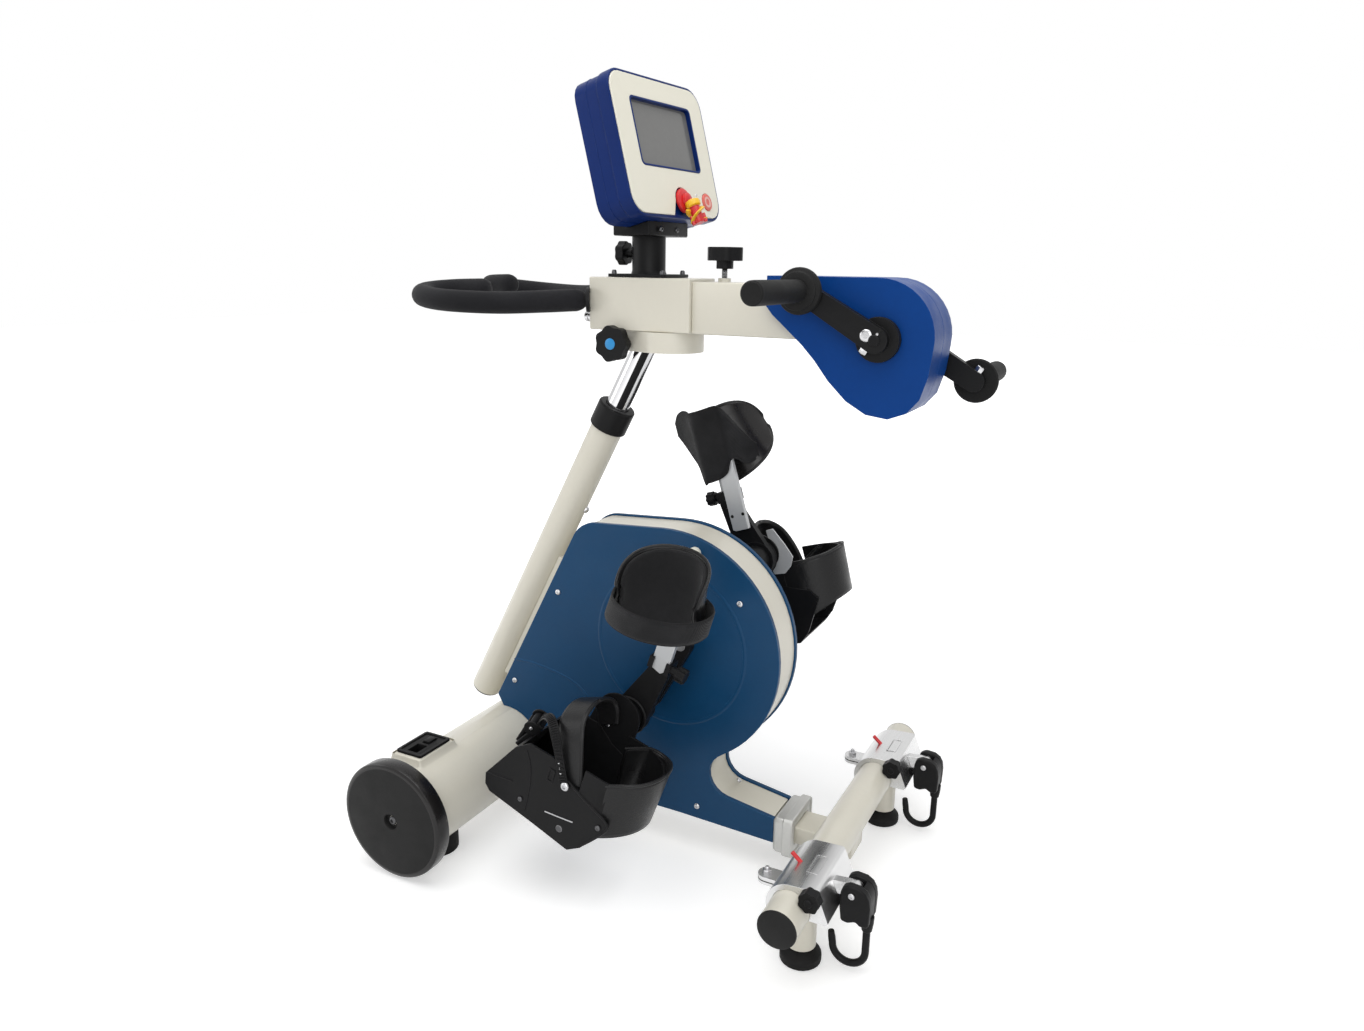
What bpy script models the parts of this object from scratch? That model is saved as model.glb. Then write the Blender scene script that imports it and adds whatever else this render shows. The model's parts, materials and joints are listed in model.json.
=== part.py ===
"""Active passive trainer: a motorised leg crank with foot shells and calf supports, a telescopic
column with an arm crank and handles, a console, and clamps for a wheelchair on the front tube.

Metres, +Z up, floor at z = 0. +X points to the user, who faces -X, so the user's left is -Y.
Places are written in the machine's side view (x along the machine, z up) from the leg drive's
reference line, and the whole model is then shifted so that its origin is under its middle.
"""
import math

import bmesh
import bpy
from mathutils import Matrix, Vector

# Fits
GAP = 0.0003  # between pieces that touch
RUN = 0.0003  # radial, around anything that turns or slides
WALL = 0.003  # sheet and shell walls
SCREW_BACK = 0.0012  # a clamping screw's tip rests this far inside its wall

# Rear base
REAR_X = -0.330
REAR_Z = 0.105
BASE_R = 0.075
BASE_HALF = 0.318
BASE_WALL = 0.004
WHEEL_R = 0.100
WHEEL_WIDTH = 0.0295
WHEEL_EDGE = 0.005
WHEEL_RECESS_R = 0.013
WHEEL_RECESS = 0.006
AXLE_R = 0.008
AXLE_BOSS_R = 0.022
AXLE_BOSS = 0.005
REAR_FOOT_R = 0.036
REAR_FOOT_TOP = 0.036
REAR_FOOT_FROM_END = 0.073

# Mains inlet on the base tube
INLET_X = -0.345
INLET_FROM_END = 0.068
INLET_Y = INLET_FROM_END - BASE_HALF
INLET_SIZE = (0.062, 0.088)
INLET_TOP = 0.190
INLET_POCKET = (0.042, 0.064)
INLET_FLANGE = 0.003
INLET_DEPTH = 0.028
SOCKET_SIZE = (0.020, 0.026)
SOCKET_DEPTH = 0.018
SWITCH_SIZE = (0.0135, 0.0190, 0.008)
SWITCH_POCKET = (0.0150, 0.0235)
SWITCH_DEPTH = 0.012
SWITCH_PIN_R = 0.0015

# Column and its telescopic post, which lean back from the foot
COLUMN_FOOT = (-0.401, 0.202)
COLUMN_LEAN = math.radians(27.6)
COLUMN_R = 0.0275
COLUMN_WALL = 0.0035
COLUMN_BELOW = 0.014
COLUMN_TOP = 0.586
COLLAR_R = 0.032
COLLAR_TOP = 0.629
COLLAR_SPIGOT = 0.038
POST_R = 0.020
POST_WALL = 0.004
POST_LOW = 0.250
POST_TOP = 0.752
POST_SHOE = 0.030
GUSSET_SPAN = (0.050, 0.330)
GUSSET_HALF = 0.012

# Leg drive casing
CASING_GAP = 0.0465  # column axis to the casing's rear edge
CASING_HALF = 0.041
COVER_DEPTH = 0.008
COVER_SKIN = 0.0025
BAND_INSET = 0.003
DRUM_X = 0.008
DRUM_Z = 0.367
DRUM_R = 0.204
CASING_REAR_Z = 0.202
CASING_TOP_CORNER_Z = 0.561
CASING_TOP_R = 0.050
NECK = (0.035, 0.132)
NECK_R = 0.040
ARM_END_X = 0.213
ARM_END_Z = (0.058, 0.1026)
CASING_FLOOR_Z = 0.066

# Leg crank
HUB_X = 0.045
HUB_Z = 0.384
SHAFT_R = 0.010
HUB_BOSS_R = 0.024
BIG_PULLEY_R = 0.080
SMALL_PULLEY_R = 0.018
PULLEY_Y = (-0.027, -0.015)
BELT_THICK = 0.003
BELT_CLEAR = 0.0008
MOTOR_X = -0.130
MOTOR_Z = 0.300
MOTOR_R = 0.045
MOTOR_SHAFT_R = 0.006
LEG_CRANK = 0.120
LEG_CRANK_ANGLE = math.radians(242.8)  # near pin, counted from +X towards +Z
CRANK_Y = (0.049, 0.064)
CRANK_HUB_R = 0.020
CRANK_PIN_R = 0.016
PIN_R = 0.012
PIN_END = 0.1485

# Foot shells and calf supports, in a frame on the pedal pin: x to the heel, z up the shin
FOOT_PITCH = {"left": math.radians(18.0), "right": math.radians(-17.0)}
FOOT_INNER = 0.150
FOOT_OUTER = 0.285
FOOT_WALL = 0.004
SOLE = 0.006
FOOT_BOSS_R = 0.0255
FOOT_BOSS_Y = 0.090
ANKLE_LOBE_R = 0.040
HOOP_CENTRE_X = 0.050
HOOP_FRONT_X = 0.020
HOOP_Z = (-0.100, -0.020)
BRACKET_Y = (0.1185, 0.1340)
BRACKET_RING_R = 0.032
BRACKET_ARM_R = 0.016
BRACKET_SLEEVE_Z = (0.108, 0.128)
BAR_SIZE = (0.030, 0.010)
BAR_X = {"left": 0.027, "right": -0.027}  # one bracket serves both sides, turned round
BAR_LOW = {"left": 0.104, "right": 0.056}  # each support is set to its own height
BAR_LENGTH = 0.200
SHELL_R = 0.066
SHELL_WALL = 0.004
SHELL_X = 0.019
SHELL_REACH = 100  # degrees that the shell wraps each way from the bar
SHELL_TILT = {"left": math.radians(-2.0), "right": math.radians(-20.0)}
SHELL_FROM_BAR = 0.087
SHELL_HIGH = 0.128
SHELL_PAD_Z = (0.035, 0.085)
SHELL_PAD_HALF = 0.018
CLAMP_SCREW_R = 0.004

# Front tube, its connector and feet
FRONT_X = 0.329
FRONT_Z = 0.118
FRONT_R = 0.029
FRONT_HALF = 0.317
FRONT_WALL = 0.0035
CONNECTOR_HALF = 0.030
CONNECTOR_Z = (0.060, 0.0905)
CONNECTOR_END_X = 0.345
COLLAR_X = (0.2133, 0.2480)
COLLAR_HALF = 0.046
COLLAR_Z = (0.043, 0.107)
FRONT_FOOT_Y = 0.212
FRONT_SOCKET_R = 0.022
FRONT_SOCKET_LOW = 0.026
PUCK_R = 0.031
PUCK_HIGH = 0.018
STEM_R = 0.008
STEM_TOP = 0.084

# Wheelchair clamps
CLAMP_Y = 0.205
CLAMP_HALF = 0.062
HOOD_R = 0.0375
HOOD_TOP_Z = 0.157
HOOD_FLAT_X = 0.366
HOOD_NOSE = (0.3846, 0.1120)
TAB_X = 0.270
TAB_R = 0.0145
TAB_Z = (0.107, 0.1195)
CLAMP_KNOB = (0.3615, 0.1500)
CLAMP_KNOB_R = 0.016
LUG_HALF = 0.007
LUG_R = 0.010
HOOK_PIVOT = (0.404, 0.138)
HOOK_PIN_R = 0.004
HOLDER_X = (0.3875, 0.430)
HOLDER_Z = (0.092, 0.151)
HOLDER_HALF = 0.0225
HOLDER_BACK = 0.0115
HOOK_R = 0.0055
HOOK_BOTTOM_Z = 0.014

# Head: swivel casting, box, handles
SWIVEL_X = -0.0095
CASTING_Z = (0.854, 0.8857)
CASTING_R = 0.052
CASTING_REAR = (-0.062, 0.032)
SPINDLE_R = 0.012
SPINDLE_LOW = 0.862
SWIVEL_KNOB_X = -0.084
SWIVEL_KNOB_Z = 0.866
SWIVEL_KNOB_R = 0.029
BOX_X = (-0.135, 0.044)
BOX_HALF = 0.045
BOX_Z = (0.886, 0.968)
BOX_WALL = 0.0035
HANDLE_R = 0.0125
FOAM_R = 0.0175
HANDLE_ROUTE = (
    (-0.098, 0.034, 0.932),
    (-0.140, 0.056, 0.932),
    (-0.190, 0.085, 0.929),
    (-0.260, 0.122, 0.926),
    (-0.340, 0.146, 0.928),
    (-0.402, 0.130, 0.933),
    (-0.424, 0.088, 0.938),
    (-0.398, 0.048, 0.942),
    (-0.340, 0.034, 0.944),
)
HANDLE_STEPS = 2

# Arm unit
BEAM_X = (0.0443, 0.2450)
BEAM_HALF = 0.038
BEAM_Z = (0.8853, 0.9633)
BEAM_NUT_R = 0.010
BEAM_NUT_HIGH = 0.006
RAIL_END_X = 0.165
EXTENSION_KNOB_X = 0.081
EXTENSION_KNOB_R = 0.0285
EXTENSION_KNOB_Z = (0.995, 1.015)
ARM_HALF = 0.054
ARM_HUB = (0.344, 0.892)
ARM_CRANK = 0.126
ARM_CRANK_ANGLE = math.radians(150.0)
ARM_DISC_R = 0.031
ARM_CRANK_Y = (0.066, 0.081)
ARM_SPINDLE_R = 0.012
ARM_SPINDLE_END = 0.076
GEARBOX_R = 0.045
GEARBOX_HALF = 0.030
GEARBOX_NECK_HALF = 0.018
GEARBOX_NECK_Z = (0.900, 0.940)
GRIP_PIN_R = 0.006
GRIP_PIN_END = 0.245
GUARD_R = 0.032
GUARD_Y = (0.0813, 0.0970)
GRIP_R = 0.016
GRIP_END = 0.2525

# Console
CONSOLE_X = -0.0515
FLANGE_X = (-0.122, 0.016)
FLANGE_THICK = 0.005
CONSOLE_POST_R = 0.0265
CONSOLE_POST_TOP = 1.030
CONSOLE_SPIGOT_R = 0.020
CONSOLE_SPIGOT_LOW = 0.985
CONSOLE_KNOB_Z = 1.005
CONSOLE_KNOB_R = 0.019
CONSOLE_YAW = math.radians(-5.3)
CONSOLE_TILT = math.radians(-14.7)
FACE_X = 0.0343  # from the post's axis to the face's centre
FACE_Z = 1.1589
CONSOLE_SIZE = (0.247, 0.207)
CONSOLE_DEPTH = 0.064
CONSOLE_CORNER_R = 0.030
CONSOLE_SKIN = 0.005
FACE_THICK = 0.0042
FACE_MARGIN = 0.0025
SCREEN_SIZE = (0.163, 0.100)
SCREEN_AT = (0.003, 0.0195)
SCREEN_LAP = 0.004
SCREEN_THICK = 0.003
START_FROM_CORNER = (0.0385, 0.0275)
START_AT = (CONSOLE_SIZE[0] / 2 - START_FROM_CORNER[0], START_FROM_CORNER[1] - CONSOLE_SIZE[1] / 2)
START_R = 0.0135
STOP_FROM_BOTTOM = 0.0255
STOP_AT = (0.014, STOP_FROM_BOTTOM - CONSOLE_SIZE[1] / 2)
STOP_R = 0.0185
STOP_DISC = (-0.001, 0.005)
STOP_STEM_R = 0.0085
STOP_STEM_END = -0.026
CHIN_SIDE = (-0.022, 0.050)
CHIN_TOP = STOP_AT[1] + 0.026
NOTCH_R = 0.0205
NOTCH_FLARE = 0.0115
KEY_NECK_R = 0.005
KEY_NECK_END = 0.0005
KEY_R = 0.012
KEY_BODY = ((0.0195, 0.001), (0.0265, -0.038))

SIDES = 24
FINE_SIDES = 36
SMALL_SIDES = 16

HANDLE_REACH = -0.4425  # rearmost point, on the handles' bend
GUARD_REACH = ARM_HUB[0] - ARM_CRANK * math.cos(ARM_CRANK_ANGLE) + GUARD_R
MIDDLE_X = (HANDLE_REACH + GUARD_REACH) / 2

COLLECTIONS = {}
FINISHES = {}
FINISH_LOOKS = {
    "cream_paint": ((0.66, 0.61, 0.52), 0.45, 0.0),
    "blue_cover": ((0.006, 0.052, 0.145), 0.35, 0.0),
    "blue_housing": ((0.008, 0.056, 0.225), 0.35, 0.0),
    "navy_case": ((0.012, 0.036, 0.145), 0.40, 0.0),
    "cream_face": ((0.80, 0.76, 0.64), 0.45, 0.0),
    "black_plastic": ((0.012, 0.012, 0.012), 0.45, 0.0),
    "black_rubber": ((0.014, 0.014, 0.014), 0.75, 0.0),
    "black_foam": ((0.016, 0.016, 0.018), 0.90, 0.0),
    "aluminium": ((0.62, 0.62, 0.62), 0.30, 1.0),
    "cast_grey": ((0.50, 0.49, 0.46), 0.45, 0.3),
    "chrome": ((0.75, 0.75, 0.77), 0.08, 1.0),
    "steel": ((0.45, 0.45, 0.46), 0.35, 1.0),
    "screen_glass": ((0.20, 0.20, 0.19), 0.08, 0.0),
    "stop_red": ((0.62, 0.02, 0.025), 0.35, 0.0),
    "key_yellow": ((0.85, 0.50, 0.02), 0.35, 0.0),
}


# Scene and finishes

def clear_scene():
    for obj in list(bpy.data.objects):
        bpy.data.objects.remove(obj)
    for key, name in (("parts", "active_passive_trainer"), ("cutters", "cutters")):
        COLLECTIONS[key] = bpy.data.collections.new(name)
        bpy.context.scene.collection.children.link(COLLECTIONS[key])


def make_finishes():
    for name, (colour, roughness, metallic) in FINISH_LOOKS.items():
        finish = bpy.data.materials.new(name)
        finish.use_nodes = True
        shader = finish.node_tree.nodes["Principled BSDF"]
        shader.inputs["Base Color"].default_value = (*colour, 1.0)
        shader.inputs["Roughness"].default_value = roughness
        shader.inputs["Metallic"].default_value = metallic
        FINISHES[name] = finish


# Mesh makers: each returns a closed mesh

def placed(axis, low, high):
    """Carries a shape made in its own plane, centred on z = 0, to the middle of low and high on an axis."""
    middle = (low + high) / 2
    if axis == "X":
        turn = Matrix(((0, 0, 1, middle), (1, 0, 0, 0), (0, 1, 0, 0), (0, 0, 0, 1)))
    elif axis == "Y":
        turn = Matrix(((1, 0, 0, 0), (0, 0, -1, middle), (0, 1, 0, 0), (0, 0, 0, 1)))
    else:
        turn = Matrix.Translation((0, 0, middle))
    return turn


def mesh_from(form, name):
    mesh = bpy.data.meshes.new(name)
    bmesh.ops.recalc_face_normals(form, faces=form.faces)
    form.to_mesh(mesh)
    form.free()
    return mesh


def evaluated_mesh(data, name, matrix=None, modify=None, flat=False):
    """The mesh of a curve, or of a mesh with a modifier, with its caps welded and flat faces whole."""
    obj = bpy.data.objects.new(name, data)
    COLLECTIONS["cutters"].objects.link(obj)
    if modify:
        modify(obj)
    graph = bpy.context.evaluated_depsgraph_get()
    raw = bpy.data.meshes.new_from_object(obj.evaluated_get(graph))
    form = bmesh.new()
    form.from_mesh(raw)
    bmesh.ops.remove_doubles(form, verts=form.verts, dist=1e-6)
    if flat:
        bmesh.ops.dissolve_limit(form, angle_limit=0.001, verts=form.verts, edges=form.edges)
    if matrix:
        bmesh.ops.transform(form, matrix=matrix, verts=form.verts)
    bpy.data.objects.remove(obj)
    bpy.data.meshes.remove(raw)
    return mesh_from(form, name)


def block(x, y, z, edge=0.0):
    """A box between two values on each axis, its edges rounded by edge."""
    form = bmesh.new()
    size = Matrix.Diagonal((x[1] - x[0], y[1] - y[0], z[1] - z[0], 1.0))
    centre = Matrix.Translation([(low + high) / 2 for low, high in (x, y, z)])
    bmesh.ops.create_cube(form, size=1.0, matrix=centre @ size)
    if edge:
        bmesh.ops.bevel(form, geom=form.edges[:], offset=edge, segments=2, affect="EDGES", profile=0.5)
    return mesh_from(form, "block")


def drum(radius, low, high, at=(0.0, 0.0), axis="Y", sides=SIDES, top_radius=None):
    """A cylinder or cone from low to high along an axis, at a place in the plane across it."""
    form = bmesh.new()
    bmesh.ops.create_cone(
        form,
        cap_ends=True,
        segments=sides,
        radius1=radius,
        radius2=radius if top_radius is None else top_radius,
        depth=high - low,
    )
    middle = (low + high) / 2
    if axis == "X":
        matrix = Matrix.Translation((middle, *at)) @ Matrix.Rotation(math.pi / 2, 4, "Y")
    elif axis == "Y":
        matrix = Matrix.Translation((at[0], middle, at[1])) @ Matrix.Rotation(-math.pi / 2, 4, "X")
    else:
        matrix = Matrix.Translation((*at, middle))
    bmesh.ops.transform(form, matrix=matrix, verts=form.verts)
    return mesh_from(form, "drum")


def plate(outline, low, high, axis="Y", holes=()):
    """A flat outline, thick from low to high along an axis. Holes are outlines in the same plane."""
    curve = bpy.data.curves.new("outline", "CURVE")
    curve.dimensions = "2D"
    curve.fill_mode = "BOTH"
    curve.extrude = (high - low) / 2
    for loop in (outline, *holes):
        spline = curve.splines.new("POLY")
        spline.points.add(len(loop) - 1)
        for point, (across, up) in zip(spline.points, loop):
            point.co = (across, up, 0.0, 1.0)
        spline.use_cyclic_u = True
    return evaluated_mesh(curve, "plate", placed(axis, low, high), flat=not holes)


def rod(route, radius, taper=()):
    """A round bar along a route. Taper gives the radius shares of its last points."""
    curve = bpy.data.curves.new("route", "CURVE")
    curve.dimensions = "3D"
    curve.bevel_depth = radius
    curve.bevel_resolution = 3
    curve.use_fill_caps = True
    spline = curve.splines.new("POLY")
    spline.points.add(len(route) - 1)
    for point, place in zip(spline.points, route):
        point.co = (*place, 1.0)
    for point, share in zip(list(spline.points)[len(route) - len(taper):], taper):
        point.radius = share
    return evaluated_mesh(curve, "rod")


def turned(profile, axis="Z", at=(0.0, 0.0), sides=SIDES):
    """A closed profile of (radius, height) points, turned about an axis."""
    form = bmesh.new()
    corners = [form.verts.new((radius, 0.0, height)) for radius, height in profile]
    for first, second in zip(corners, corners[1:] + corners[:1]):
        if first.co.x or second.co.x:
            form.edges.new((first, second))
    data = bpy.data.meshes.new("profile")
    form.to_mesh(data)
    form.free()

    def spin(obj):
        screw = obj.modifiers.new("turn", "SCREW")
        screw.steps = sides
        screw.render_steps = sides
        screw.use_merge_vertices = True
        screw.merge_threshold = 0.00001

    if axis == "Y":
        matrix = Matrix.Translation((at[0], 0.0, at[1])) @ Matrix.Rotation(-math.pi / 2, 4, "X")
    else:
        matrix = Matrix.Translation((*at, 0.0))
    return evaluated_mesh(data, "turned", matrix, spin)


# Outlines

def arc(centre, radius, start, end, steps):
    """Points on an arc, angles in degrees from the first axis towards the second."""
    turn = [math.radians(start + (end - start) * i / steps) for i in range(steps + 1)]
    return [(centre[0] + radius * math.cos(a), centre[1] + radius * math.sin(a)) for a in turn]


def fillet(before, corner, after, radius, steps=6):
    """The rounded corner between two straight runs."""
    here = Vector(corner)
    back = (Vector(before) - here).normalized()
    ahead = (Vector(after) - here).normalized()
    half = back.angle(ahead) / 2
    middle = here + (back + ahead).normalized() * (radius / math.sin(half))
    first = here + back * (radius / math.tan(half)) - middle
    last = here + ahead * (radius / math.tan(half)) - middle
    sweep = first.angle_signed(last)
    turns = [Matrix.Rotation(-sweep * i / steps, 2) @ first for i in range(steps + 1)]
    return [tuple(middle + point) for point in turns]


def rounded_rectangle(low, high, radius, steps=5):
    centres = (
        ((high[0] - radius, high[1] - radius), 0),
        ((low[0] + radius, high[1] - radius), 90),
        ((low[0] + radius, low[1] + radius), 180),
        ((high[0] - radius, low[1] + radius), 270),
    )
    return [point for centre, start in centres for point in arc(centre, radius, start, start + 90, steps)]


def around_two(first, first_radius, second, second_radius, steps=8):
    """The outline of a belt around two circles, with twice as many steps round the first."""
    between = math.dist(first, second)
    heading = math.degrees(math.atan2(second[1] - first[1], second[0] - first[0]))
    lean = math.degrees(math.acos((first_radius - second_radius) / between))
    return arc(first, first_radius, heading + lean, heading + 360 - lean, 2 * steps) + arc(
        second, second_radius, heading - lean, heading + lean, steps
    )


def inset(loop, distance):
    """The outline moved inwards by a distance. The loop runs clockwise or counterclockwise."""
    area = sum(a[0] * b[1] - b[0] * a[1] for a, b in zip(loop, loop[1:] + loop[:1]))
    sign = 1 if area > 0 else -1
    moved = []
    for before, here, after in zip(loop[-1:] + loop[:-1], loop, loop[1:] + loop[:1]):
        arriving = (Vector(here) - Vector(before)).normalized()
        leaving = (Vector(after) - Vector(here)).normalized()
        first = Vector((-arriving.y, arriving.x)) * sign
        second = Vector((-leaving.y, leaving.x)) * sign
        middle = (first + second).normalized()
        moved.append(tuple(Vector(here) + middle * (distance / middle.dot(first))))
    return moved


def star(radius, centre=(0.0, 0.0), lobes=7, depth=0.12, steps=6):
    """A lobed knob's outline."""
    count = lobes * steps
    turn = [2 * math.pi * i / count for i in range(count)]
    reach = [radius * (1 - depth / 2 + depth / 2 * math.cos(lobes * a)) for a in turn]
    return [(centre[0] + r * math.cos(a), centre[1] + r * math.sin(a)) for r, a in zip(reach, turn)]


def smooth_route(points, steps):
    """A smooth curve through the points, with some steps in each stretch."""
    spots = [Vector(point) for point in points]
    spots = [2 * spots[0] - spots[1], *spots, 2 * spots[-1] - spots[-2]]
    route = []
    for before, here, there, after in zip(spots, spots[1:], spots[2:], spots[3:]):
        for i in range(steps):
            t = i / steps
            bend = 2 * before - 5 * here + 4 * there - after
            twist = 3 * here - before - 3 * there + after
            route.append(here + (there - before) * t / 2 + bend * t * t / 2 + twist * t ** 3 / 2)
    return route + [spots[-2]]


# Objects

def marker(name, place, parent=None, pitch=0.0, yaw=0.0):
    """An empty on a joint's axis, or one that carries a sub-assembly's frame."""
    empty = bpy.data.objects.new(name, None)
    COLLECTIONS["parts"].objects.link(empty)
    empty.empty_display_size = 0.03
    empty.location = place
    empty.rotation_euler = (0.0, pitch, yaw)
    empty.parent = parent
    return empty


def piece(name, mesh, finish, parent):
    obj = bpy.data.objects.new(name, mesh)
    mesh.name = name
    mesh.materials.append(FINISHES[finish])
    mesh.shade_smooth()
    mesh.set_sharp_from_angle(angle=math.radians(35))
    COLLECTIONS["parts"].objects.link(obj)
    obj.parent = parent
    return obj


def combine(obj, mesh, operation):
    """Joins a mesh to a piece, or cuts it away. The mesh is in the piece's own frame."""
    helper = bpy.data.objects.new(f"{obj.name}_{operation.lower()}", mesh)
    COLLECTIONS["cutters"].objects.link(helper)
    helper.parent = obj.parent
    helper.hide_render = True
    helper.display_type = "WIRE"
    boolean = obj.modifiers.new(helper.name, "BOOLEAN")
    boolean.operation = operation
    boolean.solver = "EXACT"
    boolean.object = helper


def join(obj, *meshes):
    for mesh in meshes:
        combine(obj, mesh, "UNION")


def cut(obj, *meshes):
    for mesh in meshes:
        combine(obj, mesh, "DIFFERENCE")


def span(side, near, far):
    """Two distances from the middle plane as values of y on one side of it."""
    return (near, far) if side == "right" else (-far, -near)


def sign(side):
    return 1 if side == "right" else -1


# Rear base

def base_tube(root):
    at = (REAR_X, REAR_Z)
    bare = drum(BASE_R, -BASE_HALF, BASE_HALF, at, sides=FINE_SIDES)
    tube = piece("rear_base_tube", bare, "cream_paint", root)
    low = INLET_TOP - INLET_DEPTH - BASE_WALL
    join(tube, block(
        (INLET_X - INLET_SIZE[0] / 2, INLET_X + INLET_SIZE[0] / 2),
        (INLET_Y - INLET_SIZE[1] / 2, INLET_Y + INLET_SIZE[1] / 2),
        (low, INLET_TOP),
        0.006,
    ))
    boss = BASE_HALF + AXLE_BOSS
    axle = boss + WHEEL_WIDTH - WHEEL_RECESS
    join(tube, drum(AXLE_BOSS_R, -boss, boss, at, sides=SMALL_SIDES))
    join(tube, drum(AXLE_R, -axle, axle, at, sides=SMALL_SIDES))
    hollow = BASE_HALF - BASE_WALL
    cut(tube, drum(BASE_R - BASE_WALL, -hollow, hollow, at, sides=FINE_SIDES))
    cut(tube, block(
        (INLET_X - INLET_POCKET[0] / 2, INLET_X + INLET_POCKET[0] / 2),
        (INLET_Y - INLET_POCKET[1] / 2, INLET_Y + INLET_POCKET[1] / 2),
        (low - 0.02, INLET_TOP + 0.01),
    ))


def transport_wheel(side, root):
    axis = marker(f"transport_wheel_{side}_axis", (REAR_X, 0.0, REAR_Z), root)
    inner = BASE_HALF + AXLE_BOSS + GAP
    outer = BASE_HALF + AXLE_BOSS + WHEEL_WIDTH
    bore = AXLE_R + RUN
    profile = (
        (bore, inner),
        (WHEEL_R - 2 * WHEEL_EDGE, inner),
        (WHEEL_R, inner + 2 * WHEEL_EDGE),
        (WHEEL_R, outer - WHEEL_EDGE),
        (WHEEL_R - WHEEL_EDGE, outer),
        (WHEEL_RECESS_R, outer),
        (WHEEL_RECESS_R, outer - WHEEL_RECESS),
        (bore, outer - WHEEL_RECESS),
    )
    facing = [(radius, sign(side) * depth) for radius, depth in profile]
    piece(f"transport_wheel_{side}", turned(facing, "Y", sides=FINE_SIDES), "black_plastic", axis)


def rear_foot(side, root):
    at = (REAR_X, sign(side) * (BASE_HALF - REAR_FOOT_FROM_END))
    foot = piece(f"rear_foot_{side}", drum(REAR_FOOT_R, 0.0, REAR_FOOT_TOP, at, "Z"), "black_rubber", root)
    cut(foot, drum(BASE_R + GAP, -BASE_HALF, BASE_HALF, (REAR_X, REAR_Z), sides=FINE_SIDES))


def mains_inlet(root):
    body = [(size / 2 - GAP) for size in INLET_POCKET]
    low = INLET_TOP - INLET_DEPTH
    top = INLET_TOP + GAP + INLET_FLANGE
    lap = 0.004
    inlet = piece("power_inlet", block(
        (INLET_X - body[0], INLET_X + body[0]),
        (INLET_Y - body[1], INLET_Y + body[1]),
        (low, top - INLET_FLANGE / 2),
    ), "black_plastic", root)
    join(inlet, block(
        (INLET_X - body[0] - lap, INLET_X + body[0] + lap),
        (INLET_Y - body[1] - lap, INLET_Y + body[1] + lap),
        (INLET_TOP + GAP, top),
        0.001,
    ))
    socket_y = INLET_Y - body[1] + 0.004 + SOCKET_SIZE[1] / 2
    switch_y = INLET_Y + body[1] - 0.004 - SWITCH_POCKET[1] / 2
    cut(inlet, block(
        (INLET_X - SOCKET_SIZE[0] / 2, INLET_X + SOCKET_SIZE[0] / 2),
        (socket_y - SOCKET_SIZE[1] / 2, socket_y + SOCKET_SIZE[1] / 2),
        (top - SOCKET_DEPTH, top + 0.01),
    ))
    cut(inlet, block(
        (INLET_X - SWITCH_POCKET[0] / 2, INLET_X + SWITCH_POCKET[0] / 2),
        (switch_y - SWITCH_POCKET[1] / 2, switch_y + SWITCH_POCKET[1] / 2),
        (top - SWITCH_DEPTH, top + 0.01),
    ))
    axis = marker("power_switch_axis", (INLET_X, switch_y, top - SWITCH_SIZE[2] / 2), root)
    switch = piece("power_switch", block(
        (-SWITCH_SIZE[0] / 2, SWITCH_SIZE[0] / 2),
        (-SWITCH_SIZE[1] / 2, SWITCH_SIZE[1] / 2),
        (-SWITCH_SIZE[2] / 2 + 0.003, SWITCH_SIZE[2] / 2 + 0.003),
        0.001,
    ), "black_plastic", axis)
    reach = SWITCH_POCKET[0] / 2 - GAP
    join(switch, drum(SWITCH_PIN_R, -reach, reach, axis="X", sides=12))


# Column

def column(root):
    """The fixed outer tube, its clamp collar, and the chrome post that slides in them."""
    frame = marker("column_axis", (COLUMN_FOOT[0], 0.0, COLUMN_FOOT[1]), root, pitch=COLUMN_LEAN)
    inner = COLUMN_R - COLUMN_WALL
    tube = piece("column_tube", drum(COLUMN_R, -COLUMN_BELOW, COLUMN_TOP, axis="Z"), "cream_paint", frame)
    join(tube, block(
        (COLUMN_R - COLUMN_WALL / 2, CASING_GAP + BAND_INSET - GAP),
        (-GUSSET_HALF, GUSSET_HALF),
        GUSSET_SPAN,
    ))
    cut(tube, drum(inner, -COLUMN_BELOW + COLUMN_WALL, COLUMN_TOP + 0.05, axis="Z"))
    spigot = inner - GAP
    slot = POST_R + RUN
    collar = (
        (slot, COLLAR_TOP),
        (COLLAR_R - 0.002, COLLAR_TOP),
        (COLLAR_R, COLLAR_TOP - 0.002),
        (COLLAR_R, COLUMN_TOP + GAP),
        (spigot, COLUMN_TOP + GAP),
        (spigot, COLUMN_TOP - COLLAR_SPIGOT),
        (slot, COLUMN_TOP - COLLAR_SPIGOT),
    )
    piece("column_collar", turned(collar), "black_plastic", frame)
    mast = marker("mast_slide", (0.0, 0.0, 0.0), frame)
    shoe = inner - RUN
    post = (
        (POST_R - POST_WALL, POST_TOP - POST_WALL),
        (0.0, POST_TOP - POST_WALL),
        (0.0, POST_TOP),
        (POST_R, POST_TOP),
        (POST_R, POST_LOW + POST_SHOE),
        (shoe, POST_LOW + POST_SHOE),
        (shoe, POST_LOW),
        (POST_R - POST_WALL, POST_LOW),
    )
    piece("chrome_post", turned(post), "chrome", mast)


# Leg drive

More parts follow.
